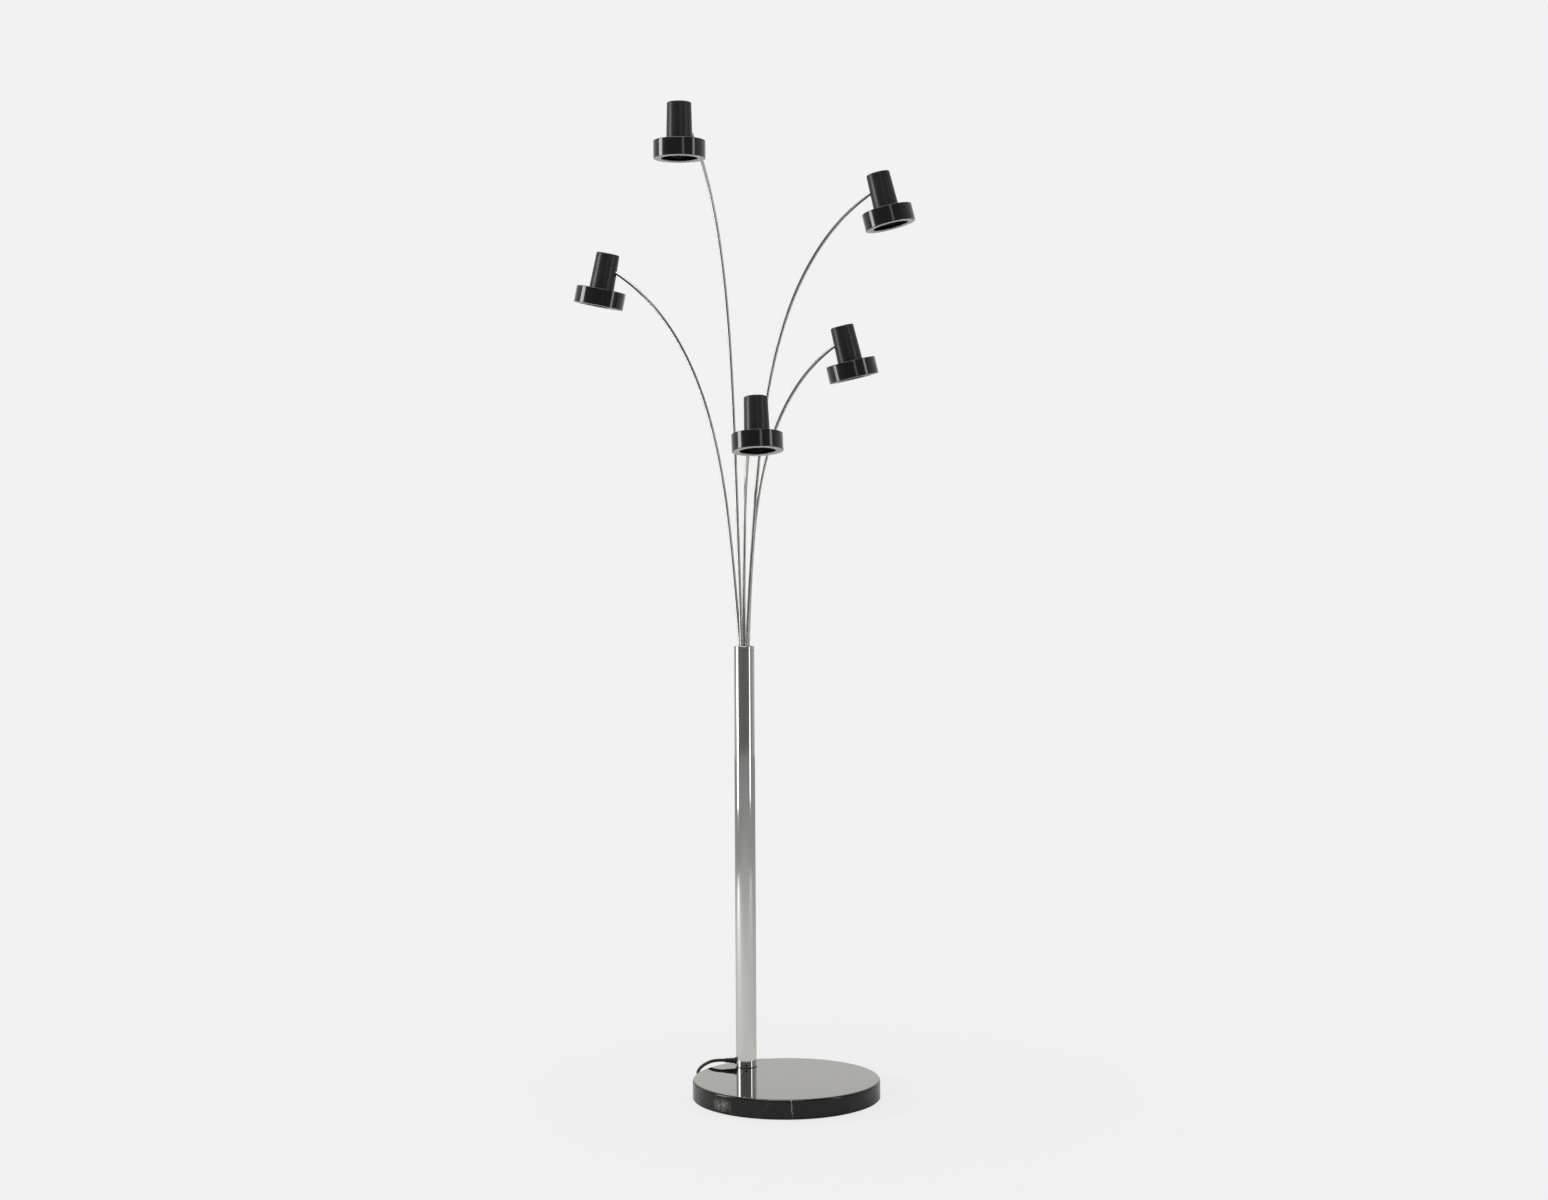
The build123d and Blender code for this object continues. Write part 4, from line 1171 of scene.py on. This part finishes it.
# How bright the room is, from the side behind the lamp (0) to the side behind the camera (1).
ROOM_SHADES = ((0.0, 0.76), (0.03, 0.75), (0.09, 0.55), (0.45, 0.36), (0.75, 0.16), (1.0, 0.13))

world = bpy.data.worlds.new("room")
bpy.context.scene.world = world
world.use_nodes = True
tree = world.node_tree
tree.nodes.clear()
output = tree.nodes.new("ShaderNodeOutputWorld")
rays = tree.nodes.new("ShaderNodeLightPath")
room = node(tree, "ShaderNodeBackground", strength=ROOM_STRENGTH)
backdrop = node(tree, "ShaderNodeBackground", color=PALE_GREY)
direction = tree.nodes.new("ShaderNodeTexCoord")
camera_side = Vector((math.sin(CAMERA_HEADING), -math.cos(CAMERA_HEADING), 0))
toward_camera = vector_math(tree, "DOT_PRODUCT", direction.outputs["Generated"], camera_side)
facing = node(tree, "ShaderNodeMapRange", from_min=-1.0, from_max=1.0)
room_shade = ramp(tree, *[(place, shade / ROOM_STRENGTH) for place, shade in ROOM_SHADES])
tree.links.new(toward_camera, facing.inputs["Value"])
tree.links.new(facing.outputs["Result"], room_shade.inputs["Fac"])
tree.links.new(room_shade.outputs["Color"], room.inputs["Color"])
choose = tree.nodes.new("ShaderNodeMixShader")
tree.links.new(rays.outputs["Is Camera Ray"], choose.inputs["Fac"])
tree.links.new(room.outputs[0], choose.inputs[1])
tree.links.new(backdrop.outputs[0], choose.inputs[2])
tree.links.new(choose.outputs[0], output.inputs["Surface"])
print("room shades", len(ROOM_SHADES))

# %% Lights
AIM = POLE_AXIS + Vector((0, 0, 0.9))
# Bearing in degrees, 0 at the camera's side and positive to its left. The rest is in metres and
# watts.
LIGHTS = {
    "left_light": dict(bearing=84.0, away=2.6, height=1.3, width=0.8, tall=2.2, power=34.0),
    "right_light": dict(bearing=-63.0, away=2.8, height=1.3, width=0.45, tall=2.2, power=9.5),
    "high_light": dict(bearing=-16.0, away=3.5, height=2.15, width=0.5, tall=1.5, power=2.6),
    "top_light": dict(bearing=20.0, away=0.6, height=3.2, width=2.0, tall=2.0, power=30.0),
}


def soft_light(name, bearing, away, height, width, tall, power):
    """A soft rectangular light that faces the lamp."""
    data = bpy.data.lights.new(name, "AREA")
    data.shape = "RECTANGLE"
    data.size = width
    data.size_y = tall
    data.energy = power
    item = bpy.data.objects.new(name, data)
    heading = math.radians(-90.0) + CAMERA_HEADING - math.radians(bearing)
    item.location = POLE_AXIS + Vector((math.cos(heading), math.sin(heading), 0)) * away
    item.location.z = height
    item.rotation_euler = (AIM - item.location).to_track_quat("-Z", "Y").to_euler()
    bpy.context.collection.objects.link(item)


for name, settings in LIGHTS.items():
    soft_light(name, **settings)
bpy.context.scene.view_settings.view_transform = "Standard"
print("lights placed", len(LIGHTS))

# %% Scene update
bpy.context.view_layer.update()
